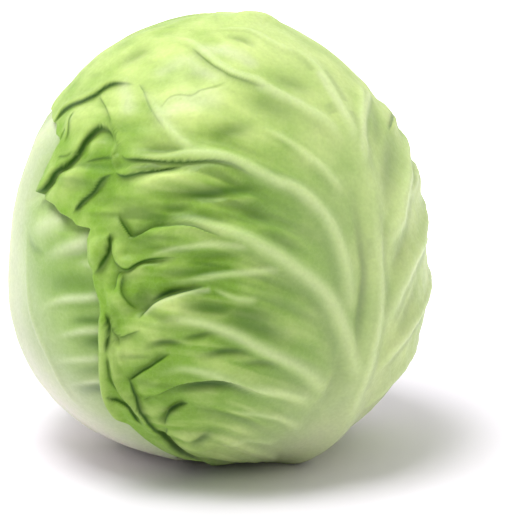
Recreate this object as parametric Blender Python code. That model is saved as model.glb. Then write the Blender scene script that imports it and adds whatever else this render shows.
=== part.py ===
"""A whole head of green cabbage, standing on the cut end of its stalk.

The head is built as it grows: a short cut stalk, a dense heart of inner leaves, and four wrapper
leaves that clasp the stalk and fold over the crown, each one lying on the leaves inside it.
The origin is the middle of the stalk's cut face, on the surface that the head stands on, with +Z up
the stalk and -Y towards the side where the outermost leaf's ribs fan out. Lengths are in metres.

A place on a leaf is given by two angles, seen from the head's middle. "along" runs from the stalk
(0), up the leaf's midrib, past the widest height (90) and over the crown (180). "around" is the
turn to either side of the midrib. A place read off the head's outside is an azimuth, turned from
-Y towards +X, and a height.
"""

import bpy
import numpy as np

# The whole head, measured over its wrapper leaves
HEAD_RADIUS = 0.087
WIDEST_HEIGHT = 0.070
CROWN_RISE = 0.1135
CROWN_POWER = 2.2
BELLY_DROP = 0.0765
LEAF_FLOOR = 0.0005
FLOOR_ROUNDING = 24

# The leaves, and how deep each one lies below a leaf that covers it
LEAF_THICKNESS = 0.0011
LEAF_GAP = 0.0013
BAND = LEAF_THICKNESS + LEAF_GAP
COVER_START = 0.005
COVER_END = 0.033
BASE_ALONG = 17.5
FOLD_CENTRE = 1.5

# The cut stalk under the head, and the heart's underside above it
STALK_RADIUS = 0.0175
STALK_HEIGHT = 0.0088
STALK_TAPER = 0.0012
STALK_CHAMFER = 0.0012
STALK_SIDES = 40
HEART_FLOOR = 0.0095
HEART_CLEARANCE = 0.0007
HEART_ROWS = 26
HEART_COLUMNS = 40

# Ribs, folds and waved margins
STROKE_STEP = 0.003
RIB_HALF_WIDTH = 0.0042
CREASE_HALF_WIDTH = 0.0048
LAMINA_SWELL = 0.0012
MARGIN_REACH = 0.012
FRONT_WAVE = 0.0030
WRAPPER_WAVE = 0.0015
PLEAT_HEIGHT = 0.0024
FLAP_LIFT = 0.0030
EDGE_WAVE = 1.4

# The leaves from the outside in: midrib azimuth, then rows of along, left edge and right edge
FRONT_LEAF = {
    "midrib": 45.5,
    "edges": [(17.5, -50, 46), (37, -60, 50), (48, -71, 57), (61, -78.5, 64), (90, -78, 74),
              (110, -78, 74), (121, -77, 71), (129, -84, 66), (140, -94, 60), (153, -87, 55),
              (165, -80.5, 56), (180, -78, 59), (192, -76, 56), (204, -68, 52)],
    "tip": 214,
}
LEFT_LEAF = {
    "midrib": -92.5,
    "edges": [(17.5, -46, 50), (40, -64, 66), (65, -76, 78), (90, -79, 80), (120, -72, 76),
              (150, -63, 68), (178, -54, 58)],
    "tip": 201,
}
RIGHT_BACK_LEAF = {
    "midrib": 130,
    "edges": [(17.5, -46, 48), (40, -62, 62), (65, -72, 70), (90, -76, 66), (120, -72, 56),
              (150, -64, 49), (176, -54, 44)],
    "tip": 196,
}
LEFT_BACK_LEAF = {
    "midrib": -145,
    "edges": [(17.5, -44, 44), (40, -60, 60), (65, -72, 72), (90, -78, 78), (120, -76, 76),
              (150, -70, 70), (182, -60, 60)],
    "tip": 208,
}

# Leaves of the heart, whose edges stand out of it as steps
HEART_LEAVES = [(-7.5, 84, 197), (92, 80, 190), (-132, 78, 186)]
HEART_STEP = 0.0014

# Side ribs of the front leaf, each from its foot to its end as azimuth and height in millimetres
RIBS = [
    [(46, 150), (46, 160), (44, 168), (36, 173), (27, 179)],
    [(43, 141), (30, 155), (17, 161), (2, 168), (-20, 176)],
    [(17, 161), (3, 164), (-20, 157)],
    [(44, 118), (37, 125), (30, 131), (22, 140), (10, 149)],
    [(40, 74), (35, 91), (32, 109), (26, 120), (12, 131), (-7, 139), (-17, 146), (-31, 159)],
    [(-7, 139), (-17, 136), (-28, 135)],
    [(35, 50), (33, 70), (29, 81), (22, 92), (15, 100), (5, 107), (-5, 112), (-16, 111), (-24, 107)],
    [(19, 94), (5, 93), (-3, 92), (-11, 91)],
    [(24, 55), (14, 62), (5, 70), (-5, 75), (-13, 76)],
    [(13, 46), (5, 52), (-8, 58)],
    [(45, 120), (50, 134), (55, 144), (66, 152), (80, 156)],
    [(46, 91), (53, 100), (64, 114), (76, 124), (92, 130)],
    [(46, 58), (52, 75), (60, 85), (72, 92), (92, 101)],
    [(45, 40), (54, 54), (68, 64), (88, 72)],
]
RIB_HEIGHT = 0.0022

# Folds pressed into the front leaf by its crumpled edge, in the same form, deepest first
FOLDS = [
    [(-59, 117), (-55, 125), (-48, 134), (-43, 145), (-36, 143), (-28, 134)],
    [(-42, 113), (-37, 122), (-30, 130), (-20, 130), (-12, 134)],
    [(-67, 143), (-57, 153), (-49, 160), (-41, 162)],
    [(-27, 114), (-22, 107), (-16, 111), (-6, 110), (0, 107)],
    [(-20, 78), (-14, 85), (-6, 89), (-2, 91)],
    [(-24, 50), (-18, 57), (-12, 63)],
    [(-18, 42), (-10, 47), (0, 52), (9, 47)],
    [(-5, 143), (2, 145), (10, 149)],
]
FOLD_DEPTH = 0.0026


def envelope_radius(way):
    """Distance from the head's middle to the outside of its leaves, along unit directions."""
    flat = np.hypot(way[..., 0], way[..., 1]) / HEAD_RADIUS
    up = np.maximum(way[..., 2], 0) / CROWN_RISE
    down = np.minimum(way[..., 2], 0) / BELLY_DROP
    crown = (flat ** CROWN_POWER + up ** CROWN_POWER) ** (-1 / CROWN_POWER)
    belly = (flat ** 2 + down ** 2) ** -0.5
    return np.where(way[..., 2] > 0, crown, belly)


def above_floor(way, radius, floor):
    """Draws a radius in where it would pass below a floor height, with a rounded bend."""
    reach = (WIDEST_HEIGHT - floor) / np.maximum(-way[..., 2], 1e-3)
    return (radius ** -FLOOR_ROUNDING + reach ** -FLOOR_ROUNDING) ** (-1 / FLOOR_ROUNDING)


def outside_point(azimuth, height):
    """Point on the head's outside at an azimuth in degrees and a height in metres."""
    rise = height - WIDEST_HEIGHT
    if rise > 0:
        radius = HEAD_RADIUS * (1 - (rise / CROWN_RISE) ** CROWN_POWER) ** (1 / CROWN_POWER)
    else:
        radius = HEAD_RADIUS * (1 - (rise / BELLY_DROP) ** 2) ** 0.5
    turn = np.radians(azimuth)
    return np.array([radius * np.sin(turn), -radius * np.cos(turn), height])


def leaf_way(midrib, along, around):
    """Unit directions from the head's middle to places on a leaf."""
    arc = np.radians(along)
    turn = np.radians(around)
    rim = np.stack([np.sin(arc), -np.cos(arc)], -1)
    spoke = rim + np.array([FOLD_CENTRE, 0])
    spoke = spoke / np.linalg.norm(spoke, axis=-1, keepdims=True)
    radius = np.sum(rim * spoke, -1)
    centre = rim - radius[..., None] * spoke
    out = centre[..., 0] + radius * np.cos(turn) * spoke[..., 0]
    up = centre[..., 1] + radius * np.cos(turn) * spoke[..., 1]
    side = radius * np.sin(turn)
    low = along <= 90
    out = np.where(low, np.sin(arc) * np.cos(turn), out)
    side = np.where(low, np.sin(arc) * np.sin(turn), side)
    up = np.where(low, -np.cos(arc), up)
    middle = np.radians(midrib)
    return np.stack([out * np.sin(middle) + side * np.cos(middle),
                     side * np.sin(middle) - out * np.cos(middle), up], -1)


def leaf_place(midrib, way):
    """The along and around angles, on a leaf, of unit directions from the head's middle."""
    middle = np.radians(midrib)
    out = way[..., 0] * np.sin(middle) - way[..., 1] * np.cos(middle)
    side = way[..., 0] * np.cos(middle) + way[..., 1] * np.sin(middle)
    up = way[..., 2]
    span = np.hypot(out + FOLD_CENTRE, up)
    spoke = np.stack([(out + FOLD_CENTRE) / span, up / span], -1)
    push = FOLD_CENTRE * spoke[..., 0]
    reach = push + np.sqrt(np.maximum(push ** 2 - FOLD_CENTRE ** 2 + 1, 0))
    rim = reach[..., None] * spoke - np.array([FOLD_CENTRE, 0])
    centre = rim - np.sum(rim * spoke, -1)[..., None] * spoke
    inward = np.sum((np.stack([out, up], -1) - centre) * spoke, -1)
    low = up <= 0
    along = np.where(low, np.arccos(np.clip(-up, -1, 1)), np.arctan2(rim[..., 0], -rim[..., 1]))
    around = np.where(low, np.arctan2(side, out), np.arctan2(side, inward))
    return np.degrees(along) % 360, np.degrees(around)


def leaf_edges(leaf, along):
    """Left and right edge of a leaf, as around angles, at given along angles."""
    rows = np.array(leaf["edges"], float)
    turn = np.radians(along)
    left = np.interp(along, rows[:, 0], rows[:, 1]) + EDGE_WAVE * np.sin(12 * turn + leaf["midrib"])
    right = np.interp(along, rows[:, 0], rows[:, 2]) + EDGE_WAVE * np.sin(10 * turn - leaf["midrib"])
    return left, right


def leaf_end(leaf, across):
    """Along angle where a leaf ends, for places from its left edge (-1) to its right edge (1)."""
    last = leaf["edges"][-1][0]
    return last + (leaf["tip"] - last) * np.sqrt(np.maximum(1 - across ** 2, 0))


def inside_leaf(leaf, way):
    """Distance inside a leaf's edge, in metres and negative outside it, along directions."""
    along, around = leaf_place(leaf["midrib"], way)
    left, right = leaf_edges(leaf, along)
    across = (2 * around - left - right) / (right - left)
    girth = np.hypot(way[..., 0], way[..., 1])
    reach = np.radians(1) * HEAD_RADIUS
    to_side = np.minimum(around - left, right - around) * reach * np.maximum(girth, 0.35)
    to_tip = (leaf_end(leaf, np.clip(across, -1, 1)) - along) * reach
    return np.minimum(to_side, to_tip)


def covered(leaf, way):
    """How far a leaf presses what is inside it: 1 under the leaf, fading to 0 beyond its edge."""
    share = np.clip((inside_leaf(leaf, way) + COVER_END) / (COVER_END - COVER_START), 0, 1)
    return share ** 2 * (3 - 2 * share)


def stroke_points(places):
    """A smooth line over the head's outside through places given as azimuth and millimetres."""
    knots = np.array([outside_point(azimuth, height / 1000) for azimuth, height in places])
    before = 2 * knots[0] - knots[1]
    after = 2 * knots[-1] - knots[-2]
    knots = np.vstack([before, knots, after])
    line = []
    for a, b, c, d in zip(knots, knots[1:], knots[2:], knots[3:]):
        count = max(1, round(np.linalg.norm(c - b) / STROKE_STEP))
        for step in np.arange(count) / count:
            line.append(0.5 * (2 * b + (c - a) * step + (2 * a - 5 * b + 4 * c - d) * step ** 2
                               + (3 * b - a - 3 * c + d) * step ** 3))
    return np.array(line + [knots[-2]])


def stroke_share(points, places, half_width):
    """Height of a rounded ridge along a stroke, from 0 to 1, at points on the head's outside."""
    line = stroke_points(places)
    gap = np.linalg.norm(points[..., None, :] - line, axis=-1)
    nearest = gap.argmin(-1)
    fade = np.interp(nearest, [0, len(line) * 0.6, len(line)], [1.0, 0.85, 0.35])
    return np.exp(-(gap.min(-1) / half_width) ** 2) * fade


def midrib_ridge(along, around, girth):
    """Height of the thick pale midrib, which tapers from the stalk to the crown."""
    height = np.interp(along, [17, 40, 70, 95, 125, 165, 205], [4.5, 4.2, 3.4, 2.6, 1.6, 0.9, 0]) / 1000
    width = np.interp(along, [17, 60, 90, 125, 165], [11, 9, 7, 4.5, 3.2]) / 1000
    offset = np.radians(around) * HEAD_RADIUS * girth
    return height * np.exp(-(offset / width) ** 2)


def margin_waves(leaf, way, along, reach):
    """Height of the crumpled edge of a leaf, in waves that run along it."""
    inside = inside_leaf(leaf, way)
    swell = 0.5 + 0.5 * np.sin(np.radians(along) * 11 + 2 * np.sin(np.radians(along) * 3))
    return reach * (0.35 + 0.65 * swell) * np.exp(-(inside / MARGIN_REACH) ** 2)


def front_relief(leaf, way, along, around):
    """Ribs, folds and pleats of the outermost leaf, as height above its lamina."""
    points = way * envelope_radius(way)[..., None] + np.array([0, 0, WIDEST_HEIGHT])
    ribs = np.zeros(way.shape[:-1])
    for rib in RIBS:
        ribs = np.maximum(ribs, stroke_share(points, rib, RIB_HALF_WIDTH))
    folds = np.zeros(way.shape[:-1])
    for order, fold in enumerate(FOLDS):
        folds = np.maximum(folds, stroke_share(points, fold, CREASE_HALF_WIDTH) * (1 - 0.08 * order))
    flap = np.exp(-((along - 143) / 17) ** 2) * np.exp(-((around + 76) / 17) ** 2)
    height = LAMINA_SWELL + RIB_HEIGHT * ribs + FLAP_LIFT * flap + margin_waves(leaf, way, along, FRONT_WAVE)
    girth = np.hypot(way[..., 0], way[..., 1])
    height = height + midrib_ridge(along, around + 3, girth) - FOLD_DEPTH * folds
    return np.maximum(height, 0)


def leaf_grid(leaf, rows, left_columns, right_columns, rib_bend):
    """Directions, along and around angles of a leaf's grid, with rows that rise to both sides."""
    across = np.concatenate([np.linspace(-1, 0, left_columns + 1), np.linspace(0, 1, right_columns + 1)[1:]])
    up, across = np.meshgrid(np.linspace(0, 1, rows + 1), across, indexing="ij")
    bent = up + rib_bend * (1 - np.exp(-2.2 * np.abs(across))) * up * (1 - up)
    along = BASE_ALONG + (leaf_end(leaf, across) - BASE_ALONG) * bent
    left, right = leaf_edges(leaf, along)
    around = np.where(across < 0, -left, right) * across
    return leaf_way(leaf["midrib"], along, around), along, around


def ribbed_relief(leaf, way, along, around, outer_leaves):
    """Pleats of a wrapper leaf: one grid row in two is a rib, where no other leaf presses on it."""
    rows = way.shape[0]
    crest = (np.arange(rows) % 2 == 1).astype(float)[:, None]
    left, right = leaf_edges(leaf, along)
    spread = np.where(around < 0, around / left, around / right)
    fade = np.clip(1.15 - spread, 0, 1) * np.clip((along - 30) / 30, 0, 1)
    girth = np.hypot(way[..., 0], way[..., 1])
    height = PLEAT_HEIGHT * crest * fade + midrib_ridge(along, around, girth)
    height = height + margin_waves(leaf, way, along, WRAPPER_WAVE)
    for outer in outer_leaves:
        height = height * (1 - covered(outer, way)) ** 2
    return height


def grid_triangles(first, rows, columns, outward):
    """Triangles of a grid of points, split along the same diagonal everywhere."""
    faces = []
    for row in range(rows):
        for column in range(columns):
            a = first + row * (columns + 1) + column
            b = a + 1
            c = a + columns + 1
            d = c + 1
            faces += [(a, b, d), (a, d, c)] if outward else [(a, d, b), (a, c, d)]
    return faces


def grid_border(first, rows, columns):
    """Point numbers once round a grid, anticlockwise as seen from outside the head."""
    wide = columns + 1
    bottom = [first + column for column in range(columns)]
    right = [first + row * wide + columns for row in range(rows)]
    top = [first + rows * wide + column for column in range(columns, 0, -1)]
    left = [first + row * wide for row in range(rows, 0, -1)]
    return bottom + right + top + left


def add_object(name, points, faces, colour, roughness):
    """Adds a closed mesh with its own plain material."""
    mesh = bpy.data.meshes.new(name)
    mesh.from_pydata([tuple(point) for point in points], [], faces)
    mesh.validate()
    mesh.shade_smooth()
    material = bpy.data.materials.new(name)
    material.use_nodes = True
    shader = material.node_tree.nodes["Principled BSDF"]
    shader.inputs["Base Color"].default_value = (*colour, 1)
    shader.inputs["Roughness"].default_value = roughness
    mesh.materials.append(material)
    item = bpy.data.objects.new(name, mesh)
    bpy.context.scene.collection.objects.link(item)
    return item


def leaf_solid(name, way, outer_radius, inner_radius, coarse, colour):
    """A leaf between two radii on one grid, its inner face on every coarse-th grid line."""
    rows, columns = way.shape[0] - 1, way.shape[1] - 1
    middle = np.array([0, 0, WIDEST_HEIGHT])
    outer = (way * outer_radius[..., None] + middle).reshape(-1, 3)
    inner = (way * inner_radius[..., None] + middle)[::coarse, ::coarse].reshape(-1, 3)
    inner_rows, inner_columns = rows // coarse, columns // coarse
    faces = grid_triangles(0, rows, columns, True)
    faces += grid_triangles(len(outer), inner_rows, inner_columns, False)
    above = grid_border(0, rows, columns)
    below = grid_border(len(outer), inner_rows, inner_columns)
    for place in range(len(below)):
        start, end = below[place], below[(place + 1) % len(below)]
        ring = [above[(place * coarse + step) % len(above)] for step in range(coarse + 1)]
        for near, far in zip(ring, ring[1:]):
            faces.append((near, start, far))
        faces.append((start, end, ring[-1]))
    return add_object(name, np.vstack([outer, inner]), faces, colour, 0.5)


def lamina_radius(way, outer_leaves):
    """Outside of a leaf's plain lamina: one band deeper for each leaf that covers it."""
    radius = above_floor(way, envelope_radius(way), LEAF_FLOOR)
    for outer in outer_leaves:
        radius = radius - BAND * covered(outer, way)
    return radius


def make_front_leaf():
    """The outermost leaf, with its ribs and folds placed one by one."""
    way, along, around = leaf_grid(FRONT_LEAF, 58, 24, 14, 0.10)
    lamina = lamina_radius(way, [])
    relief = front_relief(FRONT_LEAF, way, along, around)
    outer = above_floor(way, envelope_radius(way) + relief, LEAF_FLOOR)
    outer = np.maximum(outer, lamina)
    leaf_solid("leaf_front", way, outer, lamina - LEAF_THICKNESS, 2, (0.42, 0.60, 0.20))


def make_wrapper_leaf(name, leaf, outer_leaves, rows, columns, colour):
    """A wrapper leaf whose side ribs lie along its grid rows."""
    way, along, around = leaf_grid(leaf, rows, columns // 2, columns // 2, 0.55)
    lamina = lamina_radius(way, outer_leaves)
    relief = ribbed_relief(leaf, way, along, around, outer_leaves)
    floor_limit = (WIDEST_HEIGHT - LEAF_FLOOR) / np.maximum(-way[..., 2], 1e-3)
    outer = np.maximum(np.minimum(lamina + relief, floor_limit), lamina)
    leaf_solid(name, way, outer, lamina - LEAF_THICKNESS, 1, colour)


def make_heart(wrapper_leaves):
    """The dense inner head: a solid core with the edges of its own leaves as steps on it."""
    along, turn = np.meshgrid(np.linspace(0, 180, HEART_ROWS + 1)[1:-1],
                              np.arange(HEART_COLUMNS) * 360 / HEART_COLUMNS, indexing="ij")
    arc, azimuth = np.radians(along), np.radians(turn)
    way = np.stack([np.sin(arc) * np.sin(azimuth), -np.sin(arc) * np.cos(azimuth), -np.cos(arc)], -1)
    poles = np.array([[[1e-4, 0, -1.0]], [[1e-4, 0, 1.0]]])
    sides = way.reshape(-1, 1, 3)
    way = np.concatenate([poles[:1], sides, poles[1:]])[:, 0]
    radius = lamina_radius(way, wrapper_leaves) - HEART_CLEARANCE
    for midrib, half_width, tip in HEART_LEAVES:
        leaf = {"midrib": midrib, "tip": tip,
                "edges": [(17, -half_width, half_width), (tip - 30, -half_width, half_width)]}
        radius = radius - HEART_STEP * (1 - covered(leaf, way))
    floor = (WIDEST_HEIGHT - HEART_FLOOR) / np.maximum(-way[..., 2], 1e-3)
    points = way * np.minimum(radius, floor)[:, None] + np.array([0, 0, WIDEST_HEIGHT])
    faces = []
    last = len(points) - 1
    for column in range(HEART_COLUMNS):
        beside = (column + 1) % HEART_COLUMNS
        faces.append((0, 1 + beside, 1 + column))
        top = 1 + (HEART_ROWS - 2) * HEART_COLUMNS
        faces.append((last, top + column, top + beside))
        for row in range(HEART_ROWS - 2):
            a = 1 + row * HEART_COLUMNS + column
            b = 1 + row * HEART_COLUMNS + beside
            faces += [(a, b, b + HEART_COLUMNS), (a, b + HEART_COLUMNS, a + HEART_COLUMNS)]
    add_object("heart", points, faces, (0.78, 0.82, 0.55), 0.5)


def make_stalk():
    """The stub of the stem, cut flat where the head was taken from the plant."""
    profile = [(STALK_RADIUS - STALK_CHAMFER, 0), (STALK_RADIUS, STALK_CHAMFER),
               (STALK_RADIUS - STALK_TAPER, STALK_HEIGHT)]
    points = []
    for radius, height in profile:
        for side in range(STALK_SIDES):
            turn = 2 * np.pi * side / STALK_SIDES
            points.append((radius * np.sin(turn), -radius * np.cos(turn), height))
    faces = [tuple(range(STALK_SIDES - 1, -1, -1))]
    for ring in range(len(profile) - 1):
        for side in range(STALK_SIDES):
            a = ring * STALK_SIDES + side
            b = ring * STALK_SIDES + (side + 1) % STALK_SIDES
            faces.append((a, b, b + STALK_SIDES, a + STALK_SIDES))
    faces.append(tuple(range(len(points) - STALK_SIDES, len(points))))
    add_object("stalk", points, faces, (0.74, 0.74, 0.56), 0.7)


def main():
    for item in list(bpy.data.objects):
        bpy.data.objects.remove(item, do_unlink=True)
    make_stalk()
    make_heart([FRONT_LEAF, LEFT_LEAF, RIGHT_BACK_LEAF, LEFT_BACK_LEAF])
    make_front_leaf()
    make_wrapper_leaf("leaf_left", LEFT_LEAF, [FRONT_LEAF], 30, 16, (0.55, 0.68, 0.33))
    make_wrapper_leaf("leaf_right_back", RIGHT_BACK_LEAF, [FRONT_LEAF, LEFT_LEAF], 30, 16,
                      (0.52, 0.66, 0.30))
    make_wrapper_leaf("leaf_left_back", LEFT_BACK_LEAF, [FRONT_LEAF, LEFT_LEAF, RIGHT_BACK_LEAF],
                      30, 16, (0.60, 0.72, 0.38))


main()
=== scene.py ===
"""The looks of a whole head of green cabbage, standing on its cut stalk on a pale floor.

Each wrapper leaf, the heart and the stalk is one piece, modelled in place of its plain solid.
A leaf is a thin sheet on the head's outside. Its ribs, folds and crumpled edge are raised from it
along lines that were placed one by one, and the rest of its ribs follow a rule.

A place on a leaf is given by two angles, seen from the head's middle. "along" runs from the stalk
(0), up the leaf's midrib, past the widest height (90) and over the crown (180). "around" is the
turn to either side of the midrib. A place read off the head's outside is an azimuth, turned from
-Y towards +X, and a height in millimetres. A place read off the photograph is a pixel of its frame,
and lies where the camera's ray through that pixel meets the head. Angles are in degrees. Lengths
are in metres unless a name or comment says so.
"""

import math

import bpy
import numpy as np
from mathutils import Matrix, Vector


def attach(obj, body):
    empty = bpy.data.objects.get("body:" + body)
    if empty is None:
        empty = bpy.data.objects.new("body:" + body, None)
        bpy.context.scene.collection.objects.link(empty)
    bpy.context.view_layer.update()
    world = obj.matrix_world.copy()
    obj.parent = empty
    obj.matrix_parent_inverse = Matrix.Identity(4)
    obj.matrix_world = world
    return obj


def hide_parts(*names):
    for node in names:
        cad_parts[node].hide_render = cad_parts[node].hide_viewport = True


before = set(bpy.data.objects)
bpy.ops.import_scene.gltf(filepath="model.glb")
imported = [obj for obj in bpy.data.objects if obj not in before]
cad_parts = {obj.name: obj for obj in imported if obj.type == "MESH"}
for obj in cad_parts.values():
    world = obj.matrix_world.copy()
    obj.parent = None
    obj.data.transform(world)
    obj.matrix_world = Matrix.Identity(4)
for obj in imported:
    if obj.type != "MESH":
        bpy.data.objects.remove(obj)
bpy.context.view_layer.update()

MM = 0.001

# The whole head, as its solids are built
HEAD_RADIUS = 0.087
WIDEST_HEIGHT = 0.070
CROWN_RISE = 0.1135
CROWN_POWER = 2.2
BELLY_DROP = 0.0765
LEAF_FLOOR = 0.0005
HEART_FLOOR = 0.0095
FLOOR_ROUNDING = 24
MIDDLE = np.array([0, 0, WIDEST_HEIGHT])
DEGREE_LENGTH = np.radians(1) * HEAD_RADIUS

# Every leaf: its thickness, how deep it lies below each leaf that covers it, where that and the
# flattening of its ribs start and end round the cover's edge, how its own edge waves, how near the
# floor its outer and inner face may come, and the least share of the head's girth that a distance
# round the head is taken at
LEAF_THICKNESS = 0.0010
BAND = 0.0024
COVER_START = 0.0015
COVER_END = 0.018
FLAT_START = -0.0015
FLAT_END = 0.0045
BASE_ALONG = 17.5
FOLD_CENTRE = 1.5
EDGE_WAVE = 1.4
EDGE_CURL = 0.45
OUTER_CLEARANCE = 0.0003
INNER_CLEARANCE = 0.0004
LEAST_GIRTH = 0.35

# The grids of points: rows from stalk to tip and columns from edge to edge. The front leaf has more
# columns left of its midrib, and closer rows where the photograph shows most
FRONT_GRID = (336, 232)
FRONT_LEFT_SHARE = 0.70
FRONT_ROW_SHARES = ((0, 0), (0.08, 0.13), (0.92, 0.83), (1, 1))
WRAPPER_GRID = (220, 200)
HEART_GRID = (110, 150)

# The step between the points of a drawn line, and how far round a fold's line the grid is drawn in
STROKE_STEP = 0.0016
GATHER_REACH = 0.0036
GATHER_SHARE = 0.68

# The leaves from the outside in: midrib azimuth, then rows of along, left edge and right edge
FRONT_LEAF = {
    "midrib": 45.5,
    "edges": [(17.5, -44, 46), (35, -49, 50), (38.8, -51.4, 52), (42.8, -59, 55), (48.3, -65, 58),
              (54, -69.6, 61), (60, -72.5, 64), (64.3, -76.8, 66), (70, -77, 69),
              (90, -74.6, 74), (98, -74.2, 74), (104, -75.8, 74), (112, -76, 74), (120, -75.2, 72),
              (123.5, -73.6, 71), (125.5, -78, 70), (128, -80, 68), (134, -84, 66), (138, -88, 63),
              (143.5, -91, 60), (147, -87.5, 58), (151, -84, 56), (156, -78, 55), (162, -77, 55),
              (168, -78.5, 56), (176, -81, 57), (184, -81, 59), (193, -77, 56), (204, -68, 52)],
    "tip": 214,
}
LEFT_LEAF = {
    "midrib": -92.5,
    "edges": [(17.5, -46, 70), (40, -64, 76), (65, -76, 80), (90, -79, 80), (120, -72, 76),
              (150, -63, 68), (178, -54, 58)],
    "tip": 201,
}
RIGHT_BACK_LEAF = {
    "midrib": 130,
    "edges": [(17.5, -46, 48), (40, -62, 62), (65, -72, 70), (90, -76, 66), (120, -72, 56),
              (150, -64, 49), (176, -54, 44)],
    "tip": 196,
}
LEFT_BACK_LEAF = {
    "midrib": -145,
    "edges": [(17.5, -44, 44), (40, -60, 60), (65, -72, 72), (90, -78, 78), (120, -76, 76),
              (150, -70, 70), (182, -60, 60)],
    "tip": 208,
}

# The heart: its gap to the leaves round it and the height of its steps, in millimetres, and its own
# outer leaves as midrib azimuth, half-width and tip
HEART_GAP = 0.6
HEART_STEP = 1.4
HEART_LEAVES = [(-7.5, 84, 197), (92, 80, 190), (-132, 78, 186)]

# The stalk as rings of points, from the middle of its cut face to its top: radius and height
STALK_SIDES = 120
STALK_RINGS = [(0.0, 0.0003), (0.005, 0.00025), (0.010, 0.0002), (0.0145, 0.0), (0.0163, 0.0),
               (0.0172, 0.0006), (0.0175, 0.0016), (0.0172, 0.0040), (0.0166, 0.0086), (0.0, 0.0086)]

# The midrib as rows of along, then its height and width in millimetres, and how far it bends round
# from its leaf's middle line. The left leaf's midrib is seen from its side, and is half as high
MIDRIB_HEIGHT = [(17, 4.5), (40, 4.2), (70, 3.4), (95, 2.6), (125, 1.6), (165, 0.9), (205, 0)]
MIDRIB_WIDTH = [(17, 11), (60, 9), (90, 7), (125, 4.5), (165, 3.2)]
FRONT_MIDRIB = [(17.5, 0), (55, 0), (70, -3.8), (83, -2.9), (94, -0.7), (104, 1), (121, 2.7), (130, 2.2),
                (150, 1.5), (157, -1), (205, -2)]
LEFT_MIDRIB_TURN = 14
LEFT_MIDRIB_SCALE = 0.5

# Side ribs that follow a rule: where the first one starts along the midrib, how far the last one and
# every rib's end stay from the tip, their turns from the midrib, and how steeply they climb and how
# strong they are, by where they start. A fork leaves those that start between two places
RIB_START = 24
RIB_LAST_GAP = 22
RIB_TIP_GAP = 4
RIB_TURNS = np.array([2, 9, 18, 28, 39, 51, 64, 76])
RIB_FLATTENING = 260
RIB_CLIMB = [(25, 0.4), (65, 0.95)]
RIB_STRENGTH = [(24, 1.0), (60, 1.0), (120, 0.75), (190, 0.4)]
RIB_SIZE = (2.7, 1.7)
FORK_FROM = 80
FORK_TO = 150
FORK_TURNS = np.array([36, 44, 53, 63, 73])
FORK_CLIMB = 1.15
FORK_SIZE = (1.6, 0.9)

# Ribs of the front leaf that the photograph shows, each from its foot: half-width and height there in
# millimetres, then pixels
FRONT_RIBS = [
    (2.8, 1.7, [(358, 158), (352, 135), (344, 114), (336, 99), (328, 83), (318, 67), (306, 56), (292, 46),
        (276, 39)]),
    (3.2, 1.9, [(334, 430), (346, 408), (358, 380), (367, 350), (373, 325), (376, 298), (376, 264),
        (373, 232), (369, 196), (363, 168)]),
    (2.0, 1.5, [(360, 166), (360, 148), (361, 134), (364, 115), (369, 98), (372, 86)]),
    (1.3, 0.8, [(304, 56), (293, 50), (283, 45), (271, 39), (256, 30.5), (243, 27), (228, 26), (205, 27)]),
    (2.2, 1.3, [(353, 153), (343, 141), (330, 125), (317, 115), (297, 103), (280, 94), (265, 86.5), (258, 81),
        (245, 76), (231, 69.5), (218, 60), (206, 50), (192, 41), (176, 35), (161, 33)]),
    (1.7, 0.9, [(345, 200), (332, 180), (319, 166), (310, 159), (294, 146), (270, 130), (256, 124)]),
    (2.7, 1.7, [(353, 330), (349, 298), (343, 262), (330, 225), (313, 202), (294, 187), (277, 181),
        (259, 172), (239, 162), (219, 156), (200, 153.5), (181, 152.5), (168, 153), (149, 154.5),
        (126, 157)]),
    (1.7, 1.1, [(206, 152), (190, 146), (178, 137), (168, 127), (159, 115), (152, 103), (145, 92),
        (139, 83)]),
    (0.8, 0.4, [(232, 82), (217.6, 89), (201, 92), (192, 97), (179, 96), (169, 99), (163, 108), (158, 115)]),
    (3.4, 2.2, [(359, 397), (351, 361), (342, 327), (325, 294), (294, 267), (259, 245), (239, 235),
        (219, 228.5), (200, 223), (181, 219.5), (168, 219.5), (149, 221)]),
    (1.5, 0.9, [(262, 251), (239, 246.5), (213, 245), (188, 247), (168, 250), (152, 255), (140, 262)]),
    (1.5, 0.9, [(290, 271), (270, 270), (245, 272.5), (219, 275.5), (194, 279.5), (168, 282)]),
    (1.3, 0.6, [(262, 300), (239, 299), (225, 294), (210, 287)]),
    (2.8, 1.7, [(332, 398), (312, 376), (292, 363), (258, 347), (242, 338), (215, 327), (198, 322),
        (180, 320), (160, 322), (138, 327)]),
    (2.4, 1.4, [(318, 406), (300, 397), (284, 392), (262, 389), (242, 384), (227, 377), (215, 372),
        (189, 368), (172, 370), (154, 376)]),
    (1.8, 0.8, [(304, 428), (284, 418), (262, 413), (240, 411), (222, 413)]),
    (1.8, 0.6, [(282, 441), (249, 439.5), (232, 441), (217, 445)]),
]

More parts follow.
